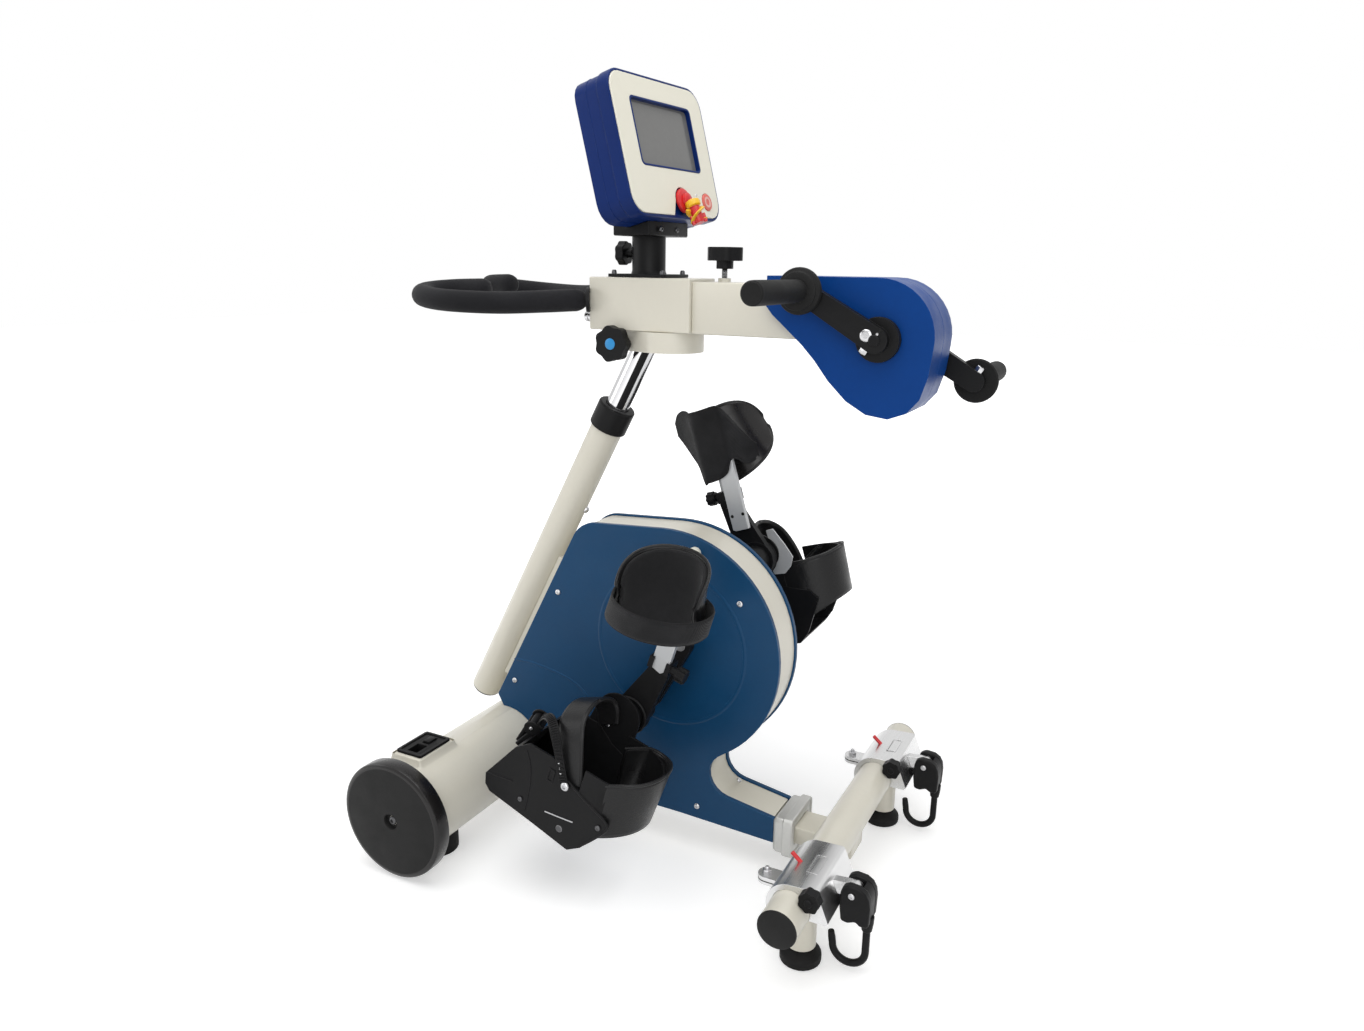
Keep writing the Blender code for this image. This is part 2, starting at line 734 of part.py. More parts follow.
def casing_outline():
    """The side covers' outline: column side, top, round drum, neck, forward arm, floor, base tube."""
    shift = CASING_GAP / math.cos(COLUMN_LEAN)
    slope = math.tan(COLUMN_LEAN)

    def rear(z):
        return (COLUMN_FOOT[0] + (z - COLUMN_FOOT[1]) * slope + shift, z)

    bottom = rear(CASING_REAR_Z)
    corner = rear(CASING_TOP_CORNER_Z)
    top = arc((DRUM_X, DRUM_Z), DRUM_R, 93, -57, 30)
    arm_top = (ARM_END_X, ARM_END_Z[1])
    arm_low = (ARM_END_X, ARM_END_Z[0])
    floor = (REAR_X + BASE_R, CASING_FLOOR_Z)
    notch = arc((REAR_X, REAR_Z), BASE_R + 2 * GAP, -31, 95, 12)
    return (
        [bottom]
        + fillet(bottom, corner, top[0], CASING_TOP_R)
        + top
        + fillet(top[-1], NECK, arm_top, NECK_R, 8)
        + [arm_top, arm_low, (0.039, 0.064), (floor[0] + 0.03, floor[1])]
        + notch
    )


def main_frame(root):
    """The welded frame: a rim band around a web, which carries the shaft's bearing boss and the motor."""
    outline = inset(casing_outline(), BAND_INSET)
    inside = inset(outline, WALL)
    depth = CASING_HALF - COVER_DEPTH - GAP
    web = WALL
    frame = piece("main_frame", plate(outline, -depth, depth), "cream_paint", root)
    cut(frame, plate(inside, web, depth + 0.01), plate(inside, -depth - 0.01, -web))
    hub = (HUB_X, HUB_Z)
    boss = -PULLEY_Y[1] - 2 * GAP
    join(frame, drum(HUB_BOSS_R, -boss, depth - WALL, hub))
    cut(frame, drum(SHAFT_R + RUN, -0.05, 0.05, hub))
    cut(frame, drum(MOTOR_R * 0.5 + GAP, -0.02, 0.02, (MOTOR_X, MOTOR_Z)))


def casing_cover(side, root):
    outline = casing_outline()
    low, high = CASING_HALF - COVER_DEPTH, CASING_HALF
    cover = piece(f"casing_cover_{side}", plate(outline, *span(side, low, high)), "blue_cover", root)
    pocket = span(side, low - 0.01, high - COVER_SKIN)
    cut(cover, plate(inset(outline, 2 * WALL), *pocket))
    cut(cover, drum(SHAFT_R + 0.0025, *span(side, 0.02, 0.06), (HUB_X, HUB_Z)))


def leg_drive(root):
    """Gearmotor, toothed belt and pulleys inside the casing, and the crank's shaft."""
    motor = (MOTOR_X, MOTOR_Z)
    hub = (HUB_X, HUB_Z)
    deep = CASING_HALF - COVER_DEPTH
    gear = piece("leg_gearmotor", drum(MOTOR_R, WALL + GAP, deep - GAP, motor), "steel", root)
    join(gear, drum(MOTOR_R * 0.5, -0.012, WALL + 0.01, motor))
    join(gear, drum(MOTOR_SHAFT_R, PULLEY_Y[0] - 0.002, 0.0, motor, sides=SMALL_SIDES))

    spin = marker("motor_pulley_axis", (MOTOR_X, 0.0, MOTOR_Z), root)
    bore = MOTOR_SHAFT_R + RUN
    ring = (
        (SMALL_PULLEY_R, PULLEY_Y[1]),
        (SMALL_PULLEY_R, PULLEY_Y[0]),
        (bore, PULLEY_Y[0]),
        (bore, PULLEY_Y[1]),
    )
    piece("motor_pulley", turned(ring, "Y"), "steel", spin)

    clear = BELT_CLEAR
    thick = BELT_CLEAR + BELT_THICK
    inner = around_two(hub, BIG_PULLEY_R + clear, motor, SMALL_PULLEY_R + clear, 12)
    outer = around_two(hub, BIG_PULLEY_R + thick, motor, SMALL_PULLEY_R + thick, 12)
    margin = 0.001
    belt = plate(outer, PULLEY_Y[0] + margin, PULLEY_Y[1] - margin, holes=(inner,))
    piece("leg_belt", belt, "black_rubber", root)

    crank = marker("leg_crank_axis", (HUB_X, 0.0, HUB_Z), root)
    end = CRANK_Y[1]
    shaft = (
        (0.0, -end),
        (SHAFT_R, -end),
        (SHAFT_R, PULLEY_Y[0]),
        (BIG_PULLEY_R, PULLEY_Y[0]),
        (BIG_PULLEY_R, PULLEY_Y[1]),
        (SHAFT_R, PULLEY_Y[1]),
        (SHAFT_R, end),
        (0.0, end),
    )
    piece("leg_shaft", turned(shaft, "Y", sides=FINE_SIDES), "steel", crank)
    return crank


def pin_place(side):
    """The pedal pin from the hub, in the side view."""
    turn = LEG_CRANK_ANGLE if side == "left" else LEG_CRANK_ANGLE + math.pi
    return (LEG_CRANK * math.cos(turn), LEG_CRANK * math.sin(turn))


def leg_crank(side, crank):
    pin = pin_place(side)
    near, far = CRANK_Y
    outline = around_two((0.0, 0.0), CRANK_HUB_R, pin, CRANK_PIN_R)
    arm = piece(f"leg_crank_{side}", plate(outline, *span(side, near, far)), "black_plastic", crank)
    join(arm, drum(PIN_R, *span(side, near + 0.002, PIN_END), pin, sides=SMALL_SIDES))
    cut(arm, drum(SHAFT_R + GAP, *span(side, near - 0.01, far + 0.01)))


# Foot unit

def foot_unit(side, crank):
    """A foot shell on its pin, and the calf support that swings and slides on it."""
    pin = pin_place(side)
    frame = marker(f"foot_{side}_axis", (pin[0], 0.0, pin[1]), crank, pitch=FOOT_PITCH[side])
    foot_shell(side, frame)
    calf = marker(f"calf_{side}_axis", (0.0, 0.0, 0.0), frame)
    calf_support(side, calf)


def foot_shell(side, frame):
    outer = (
        [(-0.143, -0.127), (-0.104, -0.052), (-0.082, -0.032), (-0.036, -0.030), (-0.004, -0.052)]
        + [(0.072, -0.076), (0.084, -0.092), (0.050, -0.150)]
        + [(0.030, -0.168), (-0.045, -0.161), (-0.128, -0.155), (-0.139, -0.146)]
    )
    solid = plate(outer, *span(side, FOOT_INNER, FOOT_OUTER))
    shell = piece(f"foot_shell_{side}", solid, "black_plastic", frame)
    room = [
        (-0.134, -0.148),
        (-0.135, -0.128),
        (-0.098, -0.058),
        (-0.084, 0.050),
        (0.150, 0.050),
        (0.150, -0.168 + SOLE),
        (0.030, -0.168 + SOLE),
        (-0.045, -0.161 + SOLE),
    ]
    cut(shell, plate(room, *span(side, FOOT_INNER + FOOT_WALL, FOOT_OUTER - FOOT_WALL)))
    lobe = around_two((-0.010, 0.0), ANKLE_LOBE_R, (-0.020, -0.100), 0.050, 10)
    join(shell, plate(lobe, *span(side, FOOT_INNER + 0.0005, FOOT_INNER + FOOT_WALL - 0.0005)))
    join(shell, heel_hoop(side))
    join(shell, drum(FOOT_BOSS_R, *span(side, FOOT_BOSS_Y, FOOT_INNER + 0.002)))
    cut(shell, drum(PIN_R + RUN, *span(side, FOOT_BOSS_Y - 0.01, PIN_END + GAP), sides=SMALL_SIDES))


def heel_hoop(side):
    """The band behind the heel, open to the front, in plan."""
    margin = 0.001
    middle = sign(side) * (FOOT_INNER + FOOT_OUTER) / 2
    outer = (FOOT_OUTER - FOOT_INNER) / 2 - margin
    inner = outer - FOOT_WALL
    centre = (HOOP_CENTRE_X, middle)
    outside = arc(centre, outer, -90, 90, 14)
    inside = arc(centre, inner, 90, -90, 14)
    band = (
        [(HOOP_FRONT_X, middle - outer)]
        + outside
        + [(HOOP_FRONT_X, middle + outer), (HOOP_FRONT_X, middle + inner)]
        + inside
        + [(HOOP_FRONT_X, middle - inner)]
    )
    return plate(band, *HOOP_Z, axis="Z")


def calf_support(side, calf):
    """A bracket that turns on the foot's boss, a bar that slides in it, and the calf shell on the bar."""
    near, far = BRACKET_Y
    bar_near = far + GAP
    bar_far = bar_near + BAR_SIZE[1]
    middle_x = BAR_X[side]
    bar_x = (middle_x - BAR_SIZE[0] / 2, middle_x + BAR_SIZE[0] / 2)
    sleeve = 0.004
    bracket = piece(
        f"calf_bracket_{side}", drum(BRACKET_RING_R, *span(side, near, far)), "black_plastic", calf
    )
    arm = around_two((0.0, 0.0), BRACKET_RING_R - 0.002, (middle_x, BRACKET_SLEEVE_Z[0]), BRACKET_ARM_R)
    join(bracket, plate(arm, *span(side, near + 0.001, far - 0.001)))
    join(bracket, block(
        (bar_x[0] - sleeve, bar_x[1] + sleeve),
        span(side, near + 0.002, bar_far + sleeve),
        BRACKET_SLEEVE_Z,
    ))
    edge = BAR_SIZE[0] / 2 + sleeve
    outward = 1 if middle_x > 0 else -1
    screw = (0.007, edge - 0.001, edge + 0.012, 12)
    knob = (0.011, edge + 0.010, edge + 0.026, 8)
    for radius, start, end, sides in (screw, knob):
        ends = sorted((middle_x + outward * start, middle_x + outward * end))
        join(bracket, drum(radius, *ends, knob_spot(side), "X", sides))
    cut(bracket, drum(FOOT_BOSS_R + RUN, *span(side, near - 0.01, far + 0.01)))
    cut(bracket, block(
        (bar_x[0] - GAP, bar_x[1] + GAP),
        span(side, bar_near - GAP, bar_far + GAP),
        (BRACKET_SLEEVE_Z[0] - 0.01, BRACKET_SLEEVE_Z[1] + 0.01),
    ))
    cut(bracket, block(
        (bar_x[0] + sleeve, bar_x[1] - sleeve),
        span(side, bar_far - 0.001, bar_far + 2 * sleeve),
        (BRACKET_SLEEVE_Z[0] - 0.01, BRACKET_SLEEVE_Z[1] + 0.01),
    ))

    slide = marker(f"calf_{side}_slide", (0.0, 0.0, 0.0), calf)
    low = BAR_LOW[side]
    top = low + BAR_LENGTH
    bevel = 0.010
    bar = [
        (bar_x[0], low + bevel / 2),
        (middle_x + BAR_SIZE[0] * 0.15, low),
        (bar_x[1], low + bevel),
        (bar_x[1], top),
        (bar_x[0], top),
    ]
    piece(f"calf_bar_{side}", plate(bar, *span(side, bar_near, bar_far)), "aluminium", slide)
    pad_near = bar_far + GAP
    middle = (outward * SHELL_X, sign(side) * (pad_near + 0.001 + SHELL_R))
    to_bar = -90 * sign(side)
    ends = (to_bar - SHELL_REACH, to_bar + SHELL_REACH)
    here = (0.0, 0.0)
    ring = arc(here, SHELL_R, *ends, 16) + arc(here, SHELL_R - SHELL_WALL, *reversed(ends), 16)
    cup = plate(ring, -SHELL_HIGH / 2, SHELL_HIGH / 2, axis="Z")
    shell_low = low + SHELL_FROM_BAR
    place = Matrix.Translation((*middle, shell_low + SHELL_HIGH / 2))
    cup.transform(place @ Matrix.Rotation(SHELL_TILT[side], 4, "Y"))
    shell = piece(f"calf_shell_{side}", cup, "black_plastic", slide)
    join(shell, block(
        (middle[0] - SHELL_PAD_HALF, middle[0] + SHELL_PAD_HALF),
        span(side, pad_near, pad_near + 0.005),
        [shell_low + height for height in SHELL_PAD_Z],
    ))


def knob_spot(side):
    """Where the bar's clamp knob sits on its bracket, as (y, z)."""
    return (sign(side) * (BRACKET_Y[1] + GAP + BAR_SIZE[1] / 2), sum(BRACKET_SLEEVE_Z) / 2)


# Front end

def front_end(root):
    collar = piece(
        "front_collar",
        block(COLLAR_X, (-COLLAR_HALF, COLLAR_HALF), COLLAR_Z, 0.006),
        "cast_grey",
        root,
    )
    cut(collar, block(
        (COLLAR_X[0] - 0.01, COLLAR_X[1] + 0.01),
        (-CONNECTOR_HALF - GAP, CONNECTOR_HALF + GAP),
        (CONNECTOR_Z[0] - GAP, CONNECTOR_Z[1] + GAP),
    ))
    at = (FRONT_X, FRONT_Z)
    tube = piece("front_tube", drum(FRONT_R, -FRONT_HALF, FRONT_HALF, at), "cream_paint", root)
    join(tube, block(
        (ARM_END_X + GAP, CONNECTOR_END_X),
        (-CONNECTOR_HALF, CONNECTOR_HALF),
        CONNECTOR_Z,
        0.003,
    ))
    for side in ("left", "right"):
        foot = (FRONT_X, sign(side) * FRONT_FOOT_Y)
        join(tube, drum(FRONT_SOCKET_R, FRONT_SOCKET_LOW, FRONT_Z - FRONT_R / 2, foot, "Z"))
    cut(tube, drum(FRONT_R - FRONT_WALL, -FRONT_HALF - 0.01, FRONT_HALF + 0.01, at))
    for side in ("left", "right"):
        foot = (FRONT_X, sign(side) * FRONT_FOOT_Y)
        cut(tube, drum(STEM_R + RUN, FRONT_SOCKET_LOW - 0.01, FRONT_Z, foot, "Z", SMALL_SIDES))
        levelling_foot(side, root)


def levelling_foot(side, root):
    axis = marker(f"levelling_foot_{side}_axis", (FRONT_X, sign(side) * FRONT_FOOT_Y, 0.0), root)
    profile = (
        (0.0, STEM_TOP),
        (STEM_R, STEM_TOP),
        (STEM_R, FRONT_SOCKET_LOW - GAP),
        (STEM_R * 1.8, FRONT_SOCKET_LOW - GAP),
        (PUCK_R - 0.005, PUCK_HIGH),
        (PUCK_R, PUCK_HIGH - 0.005),
        (PUCK_R, 0.0),
        (0.0, 0.0),
    )
    piece(f"levelling_foot_{side}", turned(profile, sides=24), "black_rubber", axis)


def chair_clamp(side, root):
    """A hood on the front tube, with a tab, a clamping knob and a swinging hook."""
    y = sign(side) * CLAMP_Y
    frame = marker(f"chair_clamp_{side}_slide", (0.0, y, 0.0), root)
    tube = (FRONT_X, FRONT_Z)
    outline = (
        arc(tube, HOOD_R, 195, 100, 8)
        + fillet((FRONT_X, HOOD_TOP_Z), (HOOD_FLAT_X, HOOD_TOP_Z), HOOD_NOSE, 0.006, 3)
        + [HOOD_NOSE, (HOOD_NOSE[0] - 0.003, HOOD_NOSE[1] - 0.004)]
        + [(FRONT_X + FRONT_R * 0.9, HOOD_NOSE[1] - 0.004), tube]
    )
    clamp = piece(f"chair_clamp_{side}", plate(outline, -CLAMP_HALF, CLAMP_HALF), "aluminium", frame)
    tab = around_two((TAB_X, 0.0), TAB_R, (FRONT_X - FRONT_R, 0.0), TAB_R, 8)
    join(clamp, plate(tab, *TAB_Z, axis="Z"))
    pivot = HOOK_PIVOT
    lug = around_two(pivot, LUG_R, (HOOD_FLAT_X, pivot[1] - 0.004), LUG_R)
    join(clamp, plate(lug, -LUG_HALF, LUG_HALF))
    cut(clamp, drum(FRONT_R + RUN, -0.08, 0.08, tube))
    cut(clamp, drum(HOOK_PIN_R + RUN, -0.02, 0.02, pivot, sides=SMALL_SIDES))
    screw = CLAMP_HALF - 0.020
    cut(clamp, drum(CLAMP_SCREW_R + RUN, -CLAMP_HALF - 0.01, -screw, CLAMP_KNOB, sides=SMALL_SIDES))

    knob_axis = marker(f"clamp_knob_{side}_axis", (CLAMP_KNOB[0], 0.0, CLAMP_KNOB[1]), frame)
    face = -CLAMP_HALF - 0.004
    wheel = plate(star(CLAMP_KNOB_R), face - 0.016, face)
    knob = piece(f"clamp_knob_{side}", wheel, "black_plastic", knob_axis)
    join(knob, drum(0.007, face - 0.002, -CLAMP_HALF - GAP, sides=SMALL_SIDES))
    join(knob, drum(CLAMP_SCREW_R, face - 0.002, -screw - GAP, sides=SMALL_SIDES))
    chair_hook(side, frame)


def chair_hook(side, frame):
    """A holder with two cheeks on a pin, and a round J hook under it."""
    axis = marker(f"chair_hook_{side}_axis", (HOOK_PIVOT[0], 0.0, HOOK_PIVOT[1]), frame)
    x = [value - HOOK_PIVOT[0] for value in HOLDER_X]
    z = [value - HOOK_PIVOT[1] for value in HOLDER_Z]
    holder = block(x, (-HOLDER_HALF, HOLDER_HALF), z, 0.004)
    hook = piece(f"chair_hook_{side}", holder, "black_plastic", axis)
    slot = LUG_HALF + GAP
    cut(hook, block((x[0] - 0.01, x[1] - HOLDER_BACK), (-slot, slot), (z[0] - 0.01, z[1] + 0.01)))
    join(hook, drum(HOOK_PIN_R, -slot - 0.005, slot + 0.005, sides=SMALL_SIDES))
    stem_x = x[1] - HOLDER_BACK / 2 - 0.001
    bend = 0.0245
    low = HOOK_BOTTOM_Z - HOOK_PIVOT[1] + bend
    curl = arc((stem_x - bend, low), bend, 0, -180, 12)
    tip = (curl[-1][0] - 0.003, 0.0, -0.080)
    route = [(stem_x, 0.0, z[0] + 0.012)] + [(across, 0.0, up) for across, up in curl] + [tip]
    join(hook, rod(route, HOOK_R))


# Head

def head(mast, swivel):
    """The casting on the post, and the box that turns on it with its two handle tubes."""
    low, top = CASTING_Z
    plan = around_two((SWIVEL_X, 0.0), CASTING_R, (CASTING_REAR[0], 0.0), CASTING_REAR[1])
    casting = piece("swivel_casting", plate(plan, low, top, axis="Z"), "cream_paint", mast)
    cut(casting, drum(SPINDLE_R + RUN, SPINDLE_LOW - GAP, top + 0.01, (SWIVEL_X, 0.0), "Z"))
    hole = drum(POST_R + GAP, POST_TOP - 0.2, POST_TOP + GAP, axis="Z")
    lean = Matrix.Translation((COLUMN_FOOT[0], 0.0, COLUMN_FOOT[1])) @ Matrix.Rotation(COLUMN_LEAN, 4, "Y")
    hole.transform(lean)
    cut(casting, hole)
    screw_tip = -CASTING_REAR[1] * 0.72
    knob = (SWIVEL_KNOB_X, SWIVEL_KNOB_Z)
    cut(casting, drum(CLAMP_SCREW_R + RUN, -0.08, screw_tip, knob, sides=SMALL_SIDES))
    axis = marker("swivel_knob_axis", (SWIVEL_KNOB_X, 0.0, SWIVEL_KNOB_Z), mast)
    face = -BOX_HALF - 0.003
    lock = piece("swivel_knob", plate(star(SWIVEL_KNOB_R), face - 0.018, face), "black_plastic", axis)
    join(lock, drum(0.010, face - 0.002, -CASTING_REAR[1], sides=SMALL_SIDES))
    join(lock, drum(CLAMP_SCREW_R, face - 0.002, screw_tip - GAP, sides=SMALL_SIDES))

    box = piece("head_box", block(BOX_X, (-BOX_HALF, BOX_HALF), BOX_Z, 0.003), "cream_paint", swivel)
    rail_half = BEAM_HALF - WALL - RUN
    rail_z = (BEAM_Z[0] + WALL + RUN, BEAM_Z[1] - WALL - RUN)
    join(box, block((BOX_X[1] - 0.02, RAIL_END_X), (-rail_half, rail_half), rail_z))
    join(box, drum(SPINDLE_R, SPINDLE_LOW, BOX_Z[0] + 0.002, (SWIVEL_X, 0.0), "Z"))
    for side in ("left", "right"):
        join(box, rod(handle_route(side)[:-2], HANDLE_R))
    cut(box, block(
        (BOX_X[0] + BOX_WALL, BOX_X[1] - BOX_WALL),
        (-BOX_HALF + BOX_WALL, BOX_HALF - BOX_WALL),
        (BOX_Z[0] + BOX_WALL, BOX_Z[1] - BOX_WALL),
    ))
    cut(box, block(
        (BOX_X[1] - 0.03, RAIL_END_X + 0.01),
        (-rail_half + WALL, rail_half - WALL),
        (rail_z[0] + WALL, rail_z[1] - WALL),
    ))
    for side in ("left", "right"):
        handle_foam(side, swivel)


def handle_route(side):
    points = [(x, sign(side) * y, z) for x, y, z in HANDLE_ROUTE]
    return smooth_route(points, HANDLE_STEPS)


def handle_foam(side, swivel):
    """The foam sleeve on a handle tube, closed and rounded at its free end."""
    route = handle_route(side)
    grip = route[HANDLE_STEPS:]
    heading = (grip[-1] - grip[-2]).normalized()
    tip = [grip[-1] + heading * FOAM_R * share for share in (0.5, 0.87, 1.0)]
    foam = piece(
        f"handle_foam_{side}",
        rod(grip + tip, FOAM_R, (1.0, 0.87, 0.5, 0.12)),
        "black_foam",
        swivel,
    )
    cut(foam, rod(bore_route(route[:-2]), HANDLE_R + GAP))


def bore_route(route):
    """The tube's route, a little longer at both ends, for the hole that holds it."""
    before = route[0] + (route[0] - route[1]).normalized() * 0.01
    after = route[-1] + (route[-1] - route[-2]).normalized() * GAP
    return [before] + route + [after]


# Arm unit

def arm_outline():
    """The arm housing's side outline: square shoulder, round drum low at the front, curved underside."""
    shoulder = [(0.173, 0.932), (0.173, 0.975), (0.335, 0.975)]
    nose = arc((0.338, 0.893), 0.082, 82, -8, 10)
    belly = [(0.415, 0.845), (0.405, 0.812), (0.388, 0.792), (0.362, 0.782), (0.330, 0.786)]
    under = [(0.300, 0.803), (0.272, 0.830), (0.250, 0.858), (0.230, 0.879), (0.205, 0.901), (0.183, 0.920)]
    return shoulder + nose + belly + under


def arm_unit(arm):
    beam = piece("arm_beam", block(BEAM_X, (-BEAM_HALF, BEAM_HALF), BEAM_Z, 0.002), "cream_paint", arm)
    cut(beam, block(
        (BEAM_X[0] - 0.01, BEAM_X[1] + 0.01),
        (-BEAM_HALF + WALL, BEAM_HALF - WALL),
        (BEAM_Z[0] + WALL, BEAM_Z[1] - WALL),
    ))
    spot = (EXTENSION_KNOB_X, 0.0)
    nut_top = BEAM_Z[1] + BEAM_NUT_HIGH
    join(beam, drum(BEAM_NUT_R, BEAM_Z[1] - 0.001, nut_top, spot, "Z", 6))
    bore = (BEAM_Z[1] - WALL - 0.01, nut_top + 0.01)
    cut(beam, drum(CLAMP_SCREW_R + RUN, *bore, spot, "Z", SMALL_SIDES))
    axis = marker("extension_knob_axis", (EXTENSION_KNOB_X, 0.0, 0.0), arm)
    low, high = EXTENSION_KNOB_Z
    knob = piece("extension_knob", plate(star(EXTENSION_KNOB_R, lobes=6, depth=0.10), low, high, axis="Z"),
                 "black_plastic", axis)
    join(knob, drum(0.013, low - 0.012, low + 0.002, axis="Z", sides=SMALL_SIDES))
    join(knob, drum(CLAMP_SCREW_R, nut_top - SCREW_BACK, low, axis="Z", sides=SMALL_SIDES))

    for side in ("left", "right"):
        arm_housing(side, arm)
    gear = piece("arm_gearmotor", drum(GEARBOX_R, -GEARBOX_HALF, GEARBOX_HALF, ARM_HUB), "steel", arm)
    join(gear, block((BEAM_X[1] + GAP, ARM_HUB[0]), (-GEARBOX_NECK_HALF, GEARBOX_NECK_HALF), GEARBOX_NECK_Z))
    cut(gear, drum(ARM_SPINDLE_R + RUN, -0.05, 0.05, ARM_HUB))


def arm_housing(side, arm):
    outline = arm_outline()
    solid = plate(outline, *span(side, GAP / 2, ARM_HALF))
    housing = piece(f"arm_housing_{side}", solid, "blue_housing", arm)
    cut(housing, plate(inset(outline, WALL), *span(side, -0.02, ARM_HALF - WALL)))
    clear = GAP
    cut(housing, block(
        (BEAM_X[0], BEAM_X[1] + clear),
        (-BEAM_HALF - clear, BEAM_HALF + clear),
        (BEAM_Z[0] - clear, BEAM_Z[1] + clear),
    ))
    cut(housing, drum(ARM_SPINDLE_R + 0.002, *span(side, 0.03, 0.07), ARM_HUB))


def arm_cranks(arm):
    crank = marker("arm_crank_axis", (ARM_HUB[0], 0.0, ARM_HUB[1]), arm)
    near, far = ARM_CRANK_Y
    for side in ("left", "right"):
        turn = ARM_CRANK_ANGLE if side == "left" else ARM_CRANK_ANGLE + math.pi
        pin = (ARM_CRANK * math.cos(turn), ARM_CRANK * math.sin(turn))
        outline = around_two((0.0, 0.0), 0.018, pin, 0.015)
        lever = piece(f"arm_crank_{side}", plate(outline, *span(side, near, far)), "black_plastic", crank)
        join(lever, drum(ARM_DISC_R, *span(side, ARM_HALF + 2 * GAP, near + 0.001)))
        join(lever, drum(GRIP_PIN_R, *span(side, near + 0.002, GRIP_PIN_END), pin, sides=SMALL_SIDES))
        if side == "right":
            join(lever, drum(ARM_SPINDLE_R, -ARM_SPINDLE_END, near + 0.002))
        else:
            cut(lever, drum(ARM_SPINDLE_R + GAP, -ARM_SPINDLE_END - GAP, 0.0))
        grip_axis = marker(f"hand_grip_{side}_axis", (pin[0], 0.0, pin[1]), crank)
        sleeve = drum(GRIP_R, *span(side, GUARD_Y[0], GRIP_END))
        grip = piece(f"hand_grip_{side}", sleeve, "black_rubber", grip_axis)
        join(grip, drum(GUARD_R, *span(side, *GUARD_Y)))
        bore = span(side, GUARD_Y[0] - 0.01, GRIP_PIN_END + GAP)
        cut(grip, drum(GRIP_PIN_R + RUN, *bore, sides=SMALL_SIDES))


# Console

def console(swivel):
    post_low = BOX_Z[1] + GAP
    half = BOX_HALF - 0.002
    at = (CONSOLE_X, 0.0)
    post = piece("console_post", block(FLANGE_X, (-half, half), (post_low, post_low + FLANGE_THICK)),
                 "black_plastic", swivel)
    join(post, drum(CONSOLE_POST_R, post_low + 0.001, CONSOLE_POST_TOP, at, "Z"))
    cut(post, drum(CONSOLE_SPIGOT_R + RUN, CONSOLE_SPIGOT_LOW - GAP, CONSOLE_POST_TOP + 0.01, at, "Z"))
    knob_y_z = (0.0, CONSOLE_KNOB_Z)
    cut(post, drum(CLAMP_SCREW_R + RUN, CONSOLE_X - 0.05, CONSOLE_X - CONSOLE_SPIGOT_R * 0.5, knob_y_z, "X",
                   SMALL_SIDES))
    axis = marker("console_knob_axis", (CONSOLE_X, 0.0, CONSOLE_KNOB_Z), swivel)
    tip = -CONSOLE_SPIGOT_R - RUN - SCREW_BACK
    face = -CONSOLE_POST_R - 0.012
    knob = piece("console_knob", plate(star(CONSOLE_KNOB_R), face - 0.014, face, axis="X"), "black_plastic", axis)
    join(knob, drum(CLAMP_SCREW_R, face - 0.002, tip, axis="X", sides=SMALL_SIDES))
    join(knob, drum(0.007, face - 0.002, -CONSOLE_POST_R - 0.001, axis="X", sides=SMALL_SIDES))

    turning = marker("console_axis", (CONSOLE_X, 0.0, 0.0), swivel, yaw=CONSOLE_YAW)
    bracket = piece("console_bracket", drum(CONSOLE_SPIGOT_R, CONSOLE_SPIGOT_LOW, CONSOLE_POST_TOP + 0.004,
                                            axis="Z"), "black_plastic", turning)
    join(bracket, block((-0.030, 0.038), (-0.055, 0.055), (CONSOLE_POST_TOP + GAP, FACE_Z - 0.080), 0.002))
    frame = marker("console_face_frame", (FACE_X, 0.0, FACE_Z), turning, pitch=CONSOLE_TILT)
    keep_out = block(
        (-CONSOLE_DEPTH - GAP, 0.05),
        (-CONSOLE_SIZE[0] / 2, CONSOLE_SIZE[0] / 2),
        (-CONSOLE_SIZE[1] / 2 - GAP, CONSOLE_SIZE[1] / 2),
    )
    keep_out.transform(Matrix.Translation((FACE_X, 0.0, FACE_Z)) @ Matrix.Rotation(CONSOLE_TILT, 4, "Y"))
    cut(bracket, keep_out)
    console_case(frame)
    console_face(frame)
    console_controls(frame)


def console_outline(margin=0.0):
    half = [size / 2 - margin for size in CONSOLE_SIZE]
    return rounded_rectangle((-half[0], -half[1]), half, CONSOLE_CORNER_R - margin)


def console_case(frame):
    """A deep tray with a solid chin, which the stop button is set in."""
    front = -FACE_THICK - GAP
    solid = plate(console_outline(), -CONSOLE_DEPTH, front, axis="X")
    case = piece("console_case", solid, "navy_case", frame)
    cut(case, plate(console_outline(CONSOLE_SKIN), -CONSOLE_DEPTH + CONSOLE_SKIN, 0.01, axis="X"))
    join(case, block(
        (-CONSOLE_DEPTH + 0.002, front - 0.001),
        CHIN_SIDE,
        (-CONSOLE_SIZE[1] / 2 + 0.002, CHIN_TOP),
    ))
    cut(case, drum(STOP_STEM_R + RUN, -CONSOLE_DEPTH + 0.02, 0.01, STOP_AT, "X", SMALL_SIDES))


